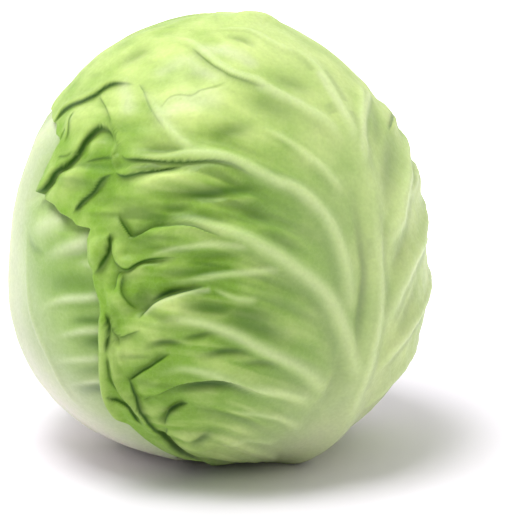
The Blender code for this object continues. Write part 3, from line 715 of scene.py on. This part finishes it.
class Relief:
    """The shape of one leaf's outside: heights above its lamina, and what colours it."""

    def __init__(self, way):
        self.way = way
        self.shape = way.shape[:-1]
        self.points = on_outside(way).reshape(-1, 3)
        self.height = np.zeros(len(self.points))
        self.slide = np.zeros((len(self.points), 3))
        self.rib = np.zeros(len(self.points))
        # How much painted shade darkens each point, in folds, valleys and under ribs
        self.painted_shade = np.zeros(len(self.points))
        # How pale each point is, with painted highlights among it
        self.pale = np.zeros(len(self.points))
        self.tone = np.full(len(self.points), 0.5)

    def raise_rib(self, line, half_width, height, fade=0.45, tail=3.5):
        """A rounded pale rib along a line, with a broad swelling under it, tapering to its end."""
        pick, rise, gap, share, leftward = near_line(self.points, line, 4 * half_width * MM)
        taper = 1 - (1 - fade) * share
        ends = tapered(share, 5, tail)
        width = half_width * MM * taper
        crest = bell(gap, CREST_WIDTH * width)
        swell = bell(gap, FOOT_WIDTH * width)
        lift = RIB_RISE * height * MM * taper * ends * (CREST_SHARE * crest + FOOT_SHARE * swell)
        self.height[pick] = heaped(self.height[pick], lift, 0.25)
        # The rib is palest a little way from its foot, and a high one is paler than a low one
        strength = min(0.80, 0.3 + height / 3)
        glow = strength * (0.6 + np.clip(share, 0, 0.4)) * (1 - 0.40 * share)
        self.rib[pick] = np.maximum(self.rib[pick], crest * ends * glow)
        # Painted shade, a darker green, runs along the rib's lower side, where its shadow falls
        below = -rise * np.sign(leftward[:, 2])
        shade = bell(below - 2.1 * width, 1.1 * width) * np.exp(-(gap - np.abs(rise)) / MM)
        self.painted_shade[pick] = np.maximum(self.painted_shade[pick], 0.16 * height * shade * ends)

    def raise_roll(self, line, half_width, height):
        """A rounded swelling of the lamina along a line, lighter on top: partly paler lamina, partly painted
        light.
        """
        pick, _, gap, share, _ = near_line(self.points, line, 3 * half_width * MM)
        swell = tapered(share, 2.5, 2.5) * bell(gap, half_width * MM)
        self.height[pick] += ROLL_RISE * height * MM * swell
        # Painted light with some paler lamina: the swelling's top is made lighter
        self.tone[pick] += 0.24 * swell

    def whiten(self, line, half_width, amount):
        """A pale patch along a line, faded at its rim; some of these patches are painted highlights."""
        pick, _, gap, _, _ = near_line(self.points, line, 2.5 * half_width * MM)
        self.pale[pick] = np.maximum(self.pale[pick], amount * bell(gap, half_width * MM))

    def press_valley(self, line, half_width, depth, shade_strength):
        """A soft valley along a line, darkened with painted shade."""
        pick, rise, _, share, _ = near_line(self.points, line, 3 * half_width * MM)
        dip = tapered(share, 2.2, 2.2) * bell(rise, half_width * MM)
        self.height[pick] -= ROLL_RISE * depth * MM * dip
        self.painted_shade[pick] = np.maximum(self.painted_shade[pick], shade_strength * dip)

    def press_fold(self, line, depth, half_width, lip_side):
        """A fold along a line: a swollen lip on one side hangs over the sunken sheet on the other."""
        pick, rise, gap, share, leftward = near_line(self.points, line, 9 * half_width * MM)
        ends = tapered(share, 6, 3.6)
        width = half_width * MM
        over = rise * lip_side - 0.15 * depth * MM * ends
        lip = bell(np.maximum(over, 0), LIP_WIDTH * width, 1.6)
        sunk = bell(np.maximum(-over, 0), SUNK_WIDTH * width, 1.3)
        step = 1 / (1 + np.exp(-over / LIP_STEP))
        past = bell(np.maximum(gap - np.abs(rise), 0), width)
        profile = LIP_SHARE * lip * step - SUNK_SHARE * sunk * (1 - step)
        self.height[pick] += past * ends * depth * MM * profile
        hang = past * bell(over - 0.5 * width, 1.1 * width) * step
        self.slide[pick] -= (ends * depth * MM * LIP_HANG * hang * lip_side)[:, None] * leftward
        # Painted shade: the sunken side is darkest at the wall, in a narrow line, with a softer painted shade
        # beyond it
        reach = (0.45 + 0.22 * depth) * MM
        dark = np.where(over > 0, bell(over, 0.4 * MM), bell(np.abs(over), reach, 1.4))
        shade = np.where(over > 0, 0, 0.70 * bell(np.abs(over), 2.0 * width, 1.5))
        dark = past * np.maximum(dark, shade) * np.sqrt(ends) * min(1, 0.25 + 0.32 * depth)
        self.painted_shade[pick] = np.maximum(self.painted_shade[pick], dark)

    def limit(self):
        """Keeps the deepest places clear of the leaf below, with a rounded bend."""
        over = (self.height / MM - DEEPEST) / DEEPEST_BEND
        self.height = (DEEPEST + DEEPEST_BEND * np.logaddexp(over, 0)) * MM


def leaf_grid(leaf, rows, columns, left_share=0.5, row_shares=((0, 0), (1, 1))):
    """Directions, along and around angles of a leaf's fine grid of points."""
    left_columns = 2 * round(columns * left_share / 2)
    left = -np.linspace(1, 0, left_columns + 1)
    right = np.linspace(0, 1, columns - left_columns + 1)[1:]
    steps = looked_up(np.linspace(0, 1, rows + 1), row_shares)
    up, across = np.meshgrid(steps, np.concatenate([left, right]), indexing="ij")
    along = BASE_ALONG + (leaf_end(leaf, across) - BASE_ALONG) * up
    left_edge, right_edge = leaf_edges(leaf, along)
    around = np.where(across < 0, -left_edge, right_edge) * across
    return leaf_way(leaf["midrib"], along, around), along, around


def grid_faces(first, rows, columns, outward):
    """Four-sided faces of a grid of points."""
    row, column = np.meshgrid(np.arange(rows), np.arange(columns), indexing="ij")
    a = (first + row * (columns + 1) + column).ravel()
    corners = [a, a + 1, a + columns + 2, a + columns + 1]
    return np.stack(corners if outward else corners[::-1], -1)


def grid_border(first, rows, columns):
    """Point numbers once round a grid, anticlockwise as seen from outside the head."""
    wide = columns + 1
    bottom = [first + column for column in range(columns)]
    right = [first + row * wide + columns for row in range(rows)]
    top = [first + rows * wide + column for column in range(columns, 0, -1)]
    left = [first + row * wide for row in range(rows, 0, -1)]
    return bottom + right + top + left


def tube_faces(rings, sides):
    """Faces of a closed shape made of rings of points, with one flat face at each end."""
    faces = []
    for ring in range(rings - 1):
        for side in range(sides):
            a = ring * sides + side
            b = ring * sides + (side + 1) % sides
            faces.append((a, b, b + sides, a + sides))
    faces.append(tuple(range(sides - 1, -1, -1)))
    faces.append(tuple(range((rings - 1) * sides, rings * sides)))
    return faces


def add_object(name, data):
    """An object in the scene, from its mesh, light or camera data."""
    thing = bpy.data.objects.new(name, data)
    bpy.context.scene.collection.objects.link(thing)
    return thing


def mesh_piece(name, points, faces, values, material):
    """A mesh piece with smooth faces and named values at its points."""
    mesh = bpy.data.meshes.new(name)
    mesh.from_pydata(points, [], faces)
    mesh.update()
    mesh.shade_smooth()
    for key, value in values.items():
        layer = mesh.attributes.new(key, "FLOAT", "POINT")
        layer.data.foreach_set("value", np.asarray(value, dtype=np.float32))
    mesh.materials.append(material)
    return add_object(name, mesh)


def sheet_piece(name, relief, lamina, edge_gap, material):
    """A thin leaf: its outer face carries the relief, and its inner face is smooth but for its edge."""
    rows, columns = relief.shape[0] - 1, relief.shape[1] - 1
    height = relief.height.reshape(relief.shape)
    slide = relief.slide.reshape(*relief.shape, 3)
    outer_radius = lamina + height
    near_edge = bell(edge_gap, 5 * MM)
    inner_radius = lamina - LEAF_THICKNESS + np.minimum(height, 0) + np.maximum(height, 0) * near_edge
    outer = relief.way * outer_radius[..., None] + MIDDLE + slide
    inner = (relief.way * inner_radius[..., None] + MIDDLE + slide * near_edge[..., None])[::2, ::2]
    outer[..., 2] = np.maximum(outer[..., 2], OUTER_CLEARANCE)
    inner[..., 2] = np.maximum(inner[..., 2], INNER_CLEARANCE)
    first = outer.shape[0] * outer.shape[1]
    faces = grid_faces(0, rows, columns, True).tolist()
    faces += grid_faces(first, rows // 2, columns // 2, False).tolist()
    # The inner face has every second point of the outer one, so the rim joins them three by two
    above = grid_border(0, rows, columns)
    below = grid_border(first, rows // 2, columns // 2)
    for place in range(len(below)):
        start, end = below[place], below[(place + 1) % len(below)]
        near, middle, far = (above[(2 * place + step) % len(above)] for step in range(3))
        faces += [(near, start, middle), (middle, start, end), (middle, end, far)]
    points = np.vstack([outer.reshape(-1, 3), inner.reshape(-1, 3)])
    values = {"rib": relief.rib, "painted_shade": relief.painted_shade, "pale": relief.pale, "tone": relief.tone}
    for key, value in values.items():
        values[key] = np.concatenate([value, value.reshape(relief.shape)[::2, ::2].ravel()])
    return mesh_piece(name, points, faces, values, material)


def lamina_radius(way, outer_leaves):
    """Outside of a leaf's plain lamina: one band deeper for each leaf that covers it."""
    radius = above_floor(way, envelope_radius(way), LEAF_FLOOR)
    for outer in outer_leaves:
        radius = radius - BAND * covered(outer, way)
    return radius


def srgb(code):
    """A colour written as sRGB hex, as the linear values that a shader takes."""
    parts = [int(code[place:place + 2], 16) / 255 for place in (0, 2, 4)]
    return [part / 12.92 if part <= 0.04045 else ((part + 0.055) / 1.055) ** 2.4 for part in parts] + [1]


def add_node(tree, kind, settings=None, links=None):
    """Adds one shader node, sets its fields and input values, and links its inputs to other sockets."""
    node = tree.nodes.new("ShaderNode" + kind)
    for key, value in (settings or {}).items():
        if isinstance(key, int) or key in node.inputs:
            node.inputs[key].default_value = value
        else:
            setattr(node, key, value)
    for key, source in (links or {}).items():
        tree.links.new(source, node.inputs[key])
    return node


def mix_colour(tree, share, first, second):
    """A colour between two others; the share and each colour may be a value or a socket."""
    node = add_node(tree, "Mix", {"data_type": "RGBA"})
    # The node has a set of sockets for each kind of value, all named alike: these are the colours'
    for place, value in ((0, share), (6, first), (7, second)):
        if isinstance(value, (float, int, list)):
            node.inputs[place].default_value = value
        else:
            tree.links.new(value, node.inputs[place])
    return node.outputs[2]


def scaled(tree, source, low, high, new_low=0.0, new_high=1.0):
    """A value brought from one range to another and held there."""
    node = add_node(tree, "MapRange", {
        "From Min": low, "From Max": high, "To Min": new_low, "To Max": new_high}, {"Value": source})
    return node.outputs["Result"]


def new_material(name, settings):
    """A material with its shader's settings, its node tree, its shader and the place on the object."""
    material = bpy.data.materials.new(name)
    material.use_nodes = True
    tree = material.node_tree
    shader = tree.nodes["Principled BSDF"]
    for key, value in settings.items():
        shader.inputs[key].default_value = value
    place = add_node(tree, "TexCoord").outputs["Object"]
    return material, tree, shader, place


def leaf_material(name, lamina, lamina_light, painted_shade, pale, rib):
    """Living cabbage leaf: a waxy, slightly translucent skin over a net of fine pale veins."""
    # The wax has an IOR of about 1.42 and gives a broad, weak sheen. Below it light spreads some 2 mm
    # through the wet flesh, green farthest, which softens the shade in the folds
    material, tree, shader, place = new_material(name, {
        "IOR": 1.42, "Specular IOR Level": 0.28, "Subsurface Weight": 0.20,
        "Subsurface Radius": (0.7, 1.0, 0.25), "Subsurface Scale": 0.0022})
    wander = add_node(tree, "TexNoise", {"Scale": 140.0, "Detail": 2.0}, {"Vector": place})
    shift = add_node(tree, "VectorMath", {"operation": "SCALE", "Scale": 0.0035},
                     {0: wander.outputs["Color"]})
    bent = add_node(tree, "VectorMath", {"operation": "ADD"},
                    {0: place, 1: shift.outputs[0]}).outputs[0]
    # The net of small veins has meshes of about 3 mm, with a finer one of about 1.5 mm inside them
    net = add_node(tree, "TexVoronoi", {"feature": "DISTANCE_TO_EDGE", "Scale": 300.0},
                   {"Vector": bent}).outputs["Distance"]
    fine_net = add_node(tree, "TexVoronoi", {"feature": "DISTANCE_TO_EDGE", "Scale": 650.0},
                        {"Vector": bent}).outputs["Distance"]
    veinlet = scaled(tree, net, 0.0, 0.11, 1.0, 0.0)
    fine_veinlet = scaled(tree, fine_net, 0.0, 0.16, 1.0, 0.0)
    # Clouds of about 20 mm vary the green, and specks of about 1.5 mm, in the painted shade's dark green, are
    # the wax's grain
    broad = add_node(tree, "TexNoise", {"Scale": 48.0, "Detail": 3.0}, {"Vector": place})
    speck = add_node(tree, "TexNoise", {"Scale": 700.0, "Detail": 4.0},
                     {"Vector": place}).outputs["Fac"]
    rib_share, painted_shade_share, pale_and_highlight_share, tone = (
        add_node(tree, "Attribute", {"attribute_name": key}).outputs["Fac"]
        for key in ("rib", "painted_shade", "pale", "tone"))
    cloud = scaled(tree, broad.outputs["Fac"], 0.3, 0.7, -0.30, 0.30)
    tone = add_node(tree, "Math", {"operation": "ADD", "use_clamp": True}, {0: tone, 1: cloud})
    colour = mix_colour(tree, tone.outputs[0], srgb(lamina), srgb(lamina_light))
    # Painted shade darkens the folds, the valleys and the lower sides of ribs
    for share, tint in ((scaled(tree, veinlet, 0.0, 1.0, 0.0, 0.035), rib),
                        (scaled(tree, fine_veinlet, 0.0, 1.0, 0.0, 0.025), rib),
                        (painted_shade_share, painted_shade), (pale_and_highlight_share, pale), (rib_share, rib),
                        (scaled(tree, speck, 0.3, 0.7, 0.0, 0.10), painted_shade)):
        colour = mix_colour(tree, share, colour, srgb(tint))
    tree.links.new(colour, shader.inputs["Base Color"])
    tree.links.new(scaled(tree, speck, 0.3, 0.7, 0.40, 0.52), shader.inputs["Roughness"])
    grain = add_node(tree, "Math", {"operation": "MULTIPLY", 1: 0.35},
                     {0: fine_veinlet}).outputs[0]
    raised = add_node(tree, "Math", {"operation": "ADD"}, {0: veinlet, 1: grain}).outputs[0]
    faint = {"Strength": 0.12, "Distance": 0.0003}
    bump = add_node(tree, "Bump", faint, {"Height": raised})
    grit = add_node(tree, "Bump", faint, {"Height": speck, "Normal": bump.outputs["Normal"]})
    tree.links.new(grit.outputs["Normal"], shader.inputs["Normal"])
    return material


def stalk_material():
    """Cut cabbage stem: moist cream pith with fibre ends, inside a greenish woody rind."""
    material, tree, shader, place = new_material("cut_stem", {
        "Roughness": 0.6, "Subsurface Weight": 0.2, "Subsurface Radius": (1.0, 0.8, 0.4),
        "Subsurface Scale": 0.002})
    flat = add_node(tree, "VectorMath", {"operation": "MULTIPLY", 1: (1, 1, 0.15)},
                    {0: place}).outputs[0]
    reach = add_node(tree, "VectorMath", {"operation": "LENGTH"}, {0: flat}).outputs["Value"]
    # Fibre bundles are about 0.8 mm across
    fibres = add_node(tree, "TexVoronoi", {"Scale": 1200.0}, {"Vector": flat}).outputs["Distance"]
    # Stains of about 10 mm, where the cut has begun to dry
    stain = add_node(tree, "TexNoise", {"Scale": 90.0, "Detail": 5.0}, {"Vector": place})
    # The rind starts 12.5 mm from the stem's middle
    colour = mix_colour(tree, scaled(tree, reach, 0.0125, 0.0165), srgb("E6E3BF"), srgb("B9BE83"))
    colour = mix_colour(tree, scaled(tree, stain.outputs["Fac"], 0.5, 0.8, 0.0, 0.55), colour, srgb("A88F5C"))
    colour = mix_colour(tree, scaled(tree, fibres, 0.1, 0.6, 0.25, 0.0), colour, srgb("98905A"))
    tree.links.new(colour, shader.inputs["Base Color"])
    bump = add_node(tree, "Bump", {"Strength": 0.4, "Distance": 0.0004}, {"Height": fibres})
    tree.links.new(bump.outputs["Normal"], shader.inputs["Normal"])
    return material


def floor_material():
    """Matt white sweep of paper that glows more the farther it lies from the head: painted light, which makes
    it fade to white away from the head.
    """
    # A faint violet in its white is painted to offset the green light that the leaves throw on it
    material, tree, shader, place = new_material("white_sweep", {
        "Base Color": srgb("F4EFF8"), "Roughness": 0.7, "Emission Color": srgb("FFFFFF")})
    reach = add_node(tree, "VectorMath", {"operation": "LENGTH"}, {0: place}).outputs["Value"]
    # Painted light: the glow grows from nothing 0.10 m from the middle under the head to full at 0.45 m
    tree.links.new(scaled(tree, reach, 0.10, 0.45), shader.inputs["Emission Strength"])
    return material


def place_piece(piece, node):
    """Puts a piece in place of its plain solid, on the head's one body."""
    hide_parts(node)
    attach(piece, "root")


def pleats(relief, edge_gap):
    """Soft pleats that run the way the ribs do, level at the left edge and falling to the midrib."""
    azimuth = azimuth_of(relief.points)
    tall = relief.points[:, 2] / MM
    fall = 0.009 * np.maximum(azimuth + 10, 0) ** 2.1
    level = relief.points[:, 2] + fall * MM + 0.003 * soft_noise(relief.points, 0.028, 20)
    place = np.stack([np.radians(azimuth) * HEAD_RADIUS * PLEAT_STRETCH, level, 0 * level], -1)
    broad, narrow, fine = (soft_noise(place, size, seed) for seed, size in enumerate(PLEAT_SIZES, 21))
    wave = 0.55 * broad + 0.45 * narrow
    streak = wave + 0.35 * fine
    # They are strongest on the left, low down, and die out at the leaf's edge
    fade = np.clip((44 - azimuth) / 40, 0.15, 1) * np.clip((165 - tall) / 40, 0.3, 1)
    fade = fade * (1 - bell(np.maximum(edge_gap, 0), 0.010))
    relief.height += PLEAT_HEIGHT * MM * fade * wave
    # Painted shade darkens the pleats' troughs, and painted light lightens their crests
    relief.painted_shade = np.maximum(relief.painted_shade, 1.1 * fade * np.clip(-streak - 0.10, 0, 0.5))
    relief.tone = np.clip(relief.tone + 1.1 * fade * np.clip(streak - 0.05, 0, 0.5), 0, 1)


def edge_ruffle(relief, leaf, along, height, sides):
    """Waves that lift a leaf's free edges off what lies below."""
    down = np.radians(along.ravel()) * HEAD_RADIUS / MM
    for gap, phase, size in zip(inside_leaf(leaf, relief.way), (0.3, 1.9, 3.7), sides):
        swell = 0.5 + 0.32 * np.sin(2 * np.pi * down / RUFFLE_LENGTH + phase) + 0.3 * soft_noise(
            relief.points, 0.012, 9 + phase)
        relief.height += size * height * MM * np.clip(swell, 0, 1.2) * bell(gap.ravel(), RUFFLE_REACH)


def surface_lumps(relief, size):
    """The uneven lamina: broad swells, and blisters between its veins."""
    lumps = sum(share * soft_noise(relief.points, lump, seed) for seed, (lump, share) in enumerate(LUMPS, 1))
    relief.height += size * MM * lumps


def draw_rows(stroke, rows, line_of=line_seen):
    """Makes one stroke for each row of a table: the stroke's numbers, then the places of its line."""
    for *numbers, places in rows:
        stroke(line_of(places), *numbers)


def add_midrib(relief, along, around, scale, paleness):
    """Raises the thick pale midrib, which tapers from the stalk to the crown, among its side ribs."""
    girth = np.hypot(relief.way[..., 0], relief.way[..., 1])
    height = looked_up(along, MIDRIB_HEIGHT) * MM
    width = looked_up(along, MIDRIB_WIDTH) * MM
    share = bell(np.radians(around) * HEAD_RADIUS * girth, width)
    relief.height = heaped(relief.height, (height * scale * share).ravel(), 0.3)
    relief.rib = np.maximum(relief.rib, paleness * share.ravel() * ramp(along.ravel(), 185, 125))


def make_front_leaf():
    """The outermost leaf, with its ribs and folds placed one by one."""
    way = leaf_grid(FRONT_LEAF, *FRONT_GRID, FRONT_LEFT_SHARE, FRONT_ROW_SHARES)[0]
    way = gathered(way, [line_seen(fold[-1]) for fold in FRONT_FOLDS + EDGE_SLITS])
    along, around = leaf_place(FRONT_LEAF["midrib"], way)
    relief = Relief(way)
    azimuth = azimuth_of(relief.points)
    tall = relief.points[:, 2] / MM
    girth = np.hypot(way[..., 0], way[..., 1]).ravel()
    crown = eased(ramp(tall, 110, 170))
    # The crown is lighter, partly a paler lamina and partly painted light from above; the right side is
    # lighter too, and the far left is greener
    relief.tone = np.maximum(CROWN_TONE_AND_LIGHT * crown, RIGHT_TONE * ramp(azimuth, 30, 55)) + BASE_TONE
    relief.tone -= LEFT_SHADE * ramp(azimuth, -15, -55) * ramp(azimuth, -180, -120)
    draw_rows(relief.raise_rib, FRONT_RIBS)
    draw_rows(relief.raise_rib, SIDE_RIBS, line_over_head)
    add_midrib(relief, along, around - looked_up(along, FRONT_MIDRIB), 1, 0.26)
    shoulder = ramp(azimuth, -50, -75) * ramp(tall, 100, 130)
    far_shoulder = ramp(azimuth, 50, 80) * ramp(tall, 138, 152) * ramp(girth, 0.22, 0.34)
    drop = SHOULDER_DROP * shoulder + FAR_SHOULDER_DROP * far_shoulder
    relief.height += (FRONT_SWELL + (CROWN_SWELL - FRONT_SWELL) * crown - drop) * MM
    surface_lumps(relief, 0.8)
    edge_gap = np.minimum.reduce(inside_leaf(FRONT_LEAF, way))
    pleats(relief, edge_gap.ravel())
    draw_rows(relief.raise_roll, FRONT_ROLLS)
    draw_rows(relief.raise_roll, SIDE_ROLLS, line_over_head)
    draw_rows(relief.press_valley, FRONT_VALLEYS)
    draw_rows(relief.raise_roll, EDGE_STRANDS)
    draw_rows(relief.press_fold, FRONT_FOLDS + EDGE_SLITS)
    edge_ruffle(relief, FRONT_LEAF, along, 1.5, (0.5, 0.6, 1.0))
    relief.limit()
    # The leaf is whitish at its foot and beside its midrib, and a little paler on the right
    along = along.ravel()
    band = bell(around.ravel(), FRONT_BAND_WIDTH) * ramp(along, 95, 50) * looked_up(along, FRONT_BAND_SHARE)
    right = 0.28 * ramp(azimuth, 4, 34) * (1 - 0.6 * crown)
    relief.pale = np.maximum(np.clip(0.90 * band + 0.25 * ramp(along, 62, 22), 0, PALEST), right)
    # Pale patches, partly painted highlights
    draw_rows(relief.whiten, FRONT_PATCHES)
    material = leaf_material("green_leaf", "7CA631", "CFE28A", "2C5606", "D3DBB0", "D8E8A8")
    piece = sheet_piece("front_leaf", relief, lamina_radius(way, []), edge_gap, material)
    place_piece(piece, "leaf_front")


def rule_ribs(leaf, spread, seed):
    """Side ribs of a wrapper leaf: they leave the midrib in turn and rise to both edges."""
    draw = np.random.default_rng(seed)
    ribs = []
    # The photograph shows the ribs on the left leaf's right half, which are placed one by one
    sides = (-1,) if leaf is LEFT_LEAF else (-1, 1)
    for side in sides:
        foot = RIB_START + draw.uniform(-3, 3)
        while foot < leaf["tip"] - RIB_LAST_GAP:
            climb = looked_up(foot, RIB_CLIMB)
            strength = looked_up(foot, RIB_STRENGTH)
            rise = climb * RIB_TURNS * (1 - RIB_TURNS / RIB_FLATTENING) + draw.normal(0, 0.8, len(RIB_TURNS))
            runs = [(RIB_SIZE, RIB_TURNS, rise)]
            if FORK_FROM < foot < FORK_TO:
                first = FORK_TURNS[0]
                rise = climb * first * (1 - first / RIB_FLATTENING) + (FORK_TURNS - first) * FORK_CLIMB
                runs.append((FORK_SIZE, FORK_TURNS, rise))
            for (half_width, height), turns, rise in runs:
                along = np.minimum(foot + rise, leaf["tip"] - RIB_TIP_GAP)
                line = leaf_way(leaf["midrib"], along, side * turns)
                ribs.append((half_width * strength, height * strength, line))
            foot += spread * draw.uniform(0.85, 1.2)
    return ribs


def make_wrapper_leaf(name, node, leaf, outer_leaves, seed, spread, material):
    """A wrapper leaf whose side ribs follow a rule, flat where another leaf presses on it."""
    way, along, around = leaf_grid(leaf, *WRAPPER_GRID)
    relief = Relief(way)
    bend, scale, band_scale = 0, 1, 0.42
    if leaf is LEFT_LEAF:
        bend, scale, band_scale = LEFT_MIDRIB_TURN, LEFT_MIDRIB_SCALE, 1
    for half_width, height, line in rule_ribs(leaf, spread, seed):
        relief.raise_rib(smooth_line(on_outside(line)), half_width, height)
    if leaf is LEFT_LEAF:
        for half_width, height, places in LEFT_RIBS:
            relief.raise_rib(line_seen(places[::-1]), half_width, height, 0.8, 1.6)
        draw_rows(relief.press_valley, LEFT_VALLEYS)
    add_midrib(relief, along, around - bend, scale, 0.5)
    relief.height += WRAPPER_SWELL * MM
    relief.tone[:] = WRAPPER_TONE
    surface_lumps(relief, 0.9)
    edge_ruffle(relief, leaf, along, 1.8, (1, 1, 1))
    free = np.ones(len(relief.points))
    for outer in outer_leaves:
        free *= 1 - covered(outer, way, FLAT_START, FLAT_END).ravel()
    relief.height *= free
    relief.limit()
    # The leaf is whitish at its foot and in a band beside its midrib, which narrows upwards
    along = along.ravel()
    wide = looked_up(along, WRAPPER_BAND_WIDTH) * band_scale
    band = bell(np.abs(around.ravel() - bend), wide, 2.4) * ramp(along, 215, 155)
    band = band * looked_up(along, WRAPPER_BAND_SHARE)
    relief.pale = np.clip(band + 0.5 * ramp(along, 60, 20), 0, PALEST)
    edge_gap = np.minimum.reduce(inside_leaf(leaf, way))
    piece = sheet_piece(name, relief, lamina_radius(way, outer_leaves), edge_gap, material)
    place_piece(piece, node)


def make_heart(wrapper_leaves):
    """The dense inner head, with the edges of its own leaves as steps on it."""
    rows, columns = HEART_GRID
    tilt, turn = np.meshgrid(np.linspace(0.5, 179.5, rows), np.arange(columns) * 360 / columns, indexing="ij")
    arc, azimuth = np.radians(tilt), np.radians(turn)
    way = np.stack([np.sin(arc) * np.sin(azimuth), -np.sin(arc) * np.cos(azimuth), -np.cos(arc)], -1)
    radius = lamina_radius(way, wrapper_leaves) - HEART_GAP * MM
    for midrib, half_width, tip in HEART_LEAVES:
        leaf = {"midrib": midrib, "tip": tip,
                "edges": [(17, -half_width, half_width), (tip - 30, -half_width, half_width)]}
        radius = radius - HEART_STEP * MM * (1 - covered(leaf, way))
    radius = np.minimum(radius, reach_to_height(way, HEART_FLOOR))
    points = (way * radius[..., None] + MIDDLE).reshape(-1, 3)
    values = {key: np.full(len(points), share)
              for key, share in (("rib", 0), ("painted_shade", 0), ("pale", 0.55), ("tone", 0.8))}
    material = leaf_material("inner_leaf", "C2D086", "D6DEA2", "8FA34A", "E9EACB", "EDEFD2")
    piece = mesh_piece("inner_head", points, tube_faces(rows, columns), values, material)
    place_piece(piece, "heart")


def make_stalk():
    """The stub of the stem, cut flat with a knife, its rind slightly broken at the edge."""
    points = []
    for ring, (radius, height) in enumerate(STALK_RINGS):
        for side in range(STALK_SIDES):
            turn = 2 * math.pi * side / STALK_SIDES
            wobble = 1 - 0.012 * math.sin(5 * turn + ring) ** 2 - 0.008 * math.sin(13 * turn) ** 2
            reach = max(radius * wobble, 0.0001)
            points.append((reach * math.sin(turn), -reach * math.cos(turn), height))
    faces = tube_faces(len(STALK_RINGS), STALK_SIDES)
    piece = mesh_piece("cut_stalk", points, faces, {}, stalk_material())
    place_piece(piece, "stalk")


def make_stage():
    """A white floor, a pale sky around it, and soft light from the upper left."""
    size = FLOOR_SIZE
    corners = [(-size, -size, 0), (size, -size, 0), (size, size, 0), (-size, size, 0)]
    mesh = bpy.data.meshes.new("floor")
    mesh.from_pydata(corners, [], [(0, 1, 2, 3)])
    mesh.materials.append(floor_material())
    floor = add_object("floor", mesh)
    world = bpy.data.worlds.new("sky")
    bpy.context.scene.world = world
    world.use_nodes = True
    tree = world.node_tree
    sky = tree.nodes["Background"]
    # The sky is bright behind and above the head and dim in front of it, but looks white to the eye
    facing = add_node(tree, "TexCoord").outputs["Generated"]
    parts = add_node(tree, "SeparateXYZ", {}, {0: facing})
    glow = scaled(tree, parts.outputs["Y"], -0.8, 0.15, SKY_FRONT, SKY_BACK)
    sight = add_node(tree, "LightPath").outputs["Is Camera Ray"]
    # Sockets 2 and 3 are the two numbers that are mixed
    seen = add_node(tree, "Mix", {3: SKY_SEEN}, {0: sight, 2: glow})
    tree.links.new(seen.outputs[0], sky.inputs["Strength"])
    sky.inputs["Color"].default_value = srgb("FFFFFF")
    add_light("key", KEY_SPOT, KEY_SIZE, KEY_POWER)
    add_light("side", SIDE_SPOT, SIDE_SIZE, SIDE_POWER)
    bpy.context.scene.view_settings.view_transform = "Standard"


def add_light(name, spot, size, power):
    """A square soft light that points at the head."""
    lamp = bpy.data.lights.new(name, "AREA")
    lamp.size = size
    lamp.energy = power
    light = add_object(name, lamp)
    light.location = spot
    light.rotation_euler = (LIGHT_AIM - Vector(spot)).to_track_quat("-Z", "Y").to_euler()


def make_camera():
    """The camera, at the photograph's height and distance."""
    data = bpy.data.cameras.new("camera")
    data.lens = VIEW_LENS
    data.sensor_width = SENSOR_WIDTH
    camera = add_object("camera", data)
    tilt = math.radians(VIEW_TILT)
    camera.location = VIEW_AIM + VIEW_DISTANCE * Vector((0, -math.cos(tilt), math.sin(tilt)))
    camera.rotation_euler = (math.radians(90 - VIEW_TILT), 0, 0)
    bpy.context.scene.camera = camera


make_camera()
make_stage()
make_stalk()
make_heart([FRONT_LEAF, LEFT_LEAF, RIGHT_BACK_LEAF, LEFT_BACK_LEAF])
make_front_leaf()
WRAPPER = leaf_material("pale_leaf", "7DA440", "AECA74", "44700F", "E6E4D2", "DDE6BC")
make_wrapper_leaf("left_leaf", "leaf_left", LEFT_LEAF, [FRONT_LEAF], 11, 12.5, WRAPPER)
make_wrapper_leaf("right_back_leaf", "leaf_right_back", RIGHT_BACK_LEAF, [FRONT_LEAF, LEFT_LEAF], 12, 13,
                  WRAPPER)
make_wrapper_leaf("left_back_leaf", "leaf_left_back", LEFT_BACK_LEAF,
                  [FRONT_LEAF, LEFT_LEAF, RIGHT_BACK_LEAF], 13, 13, WRAPPER)
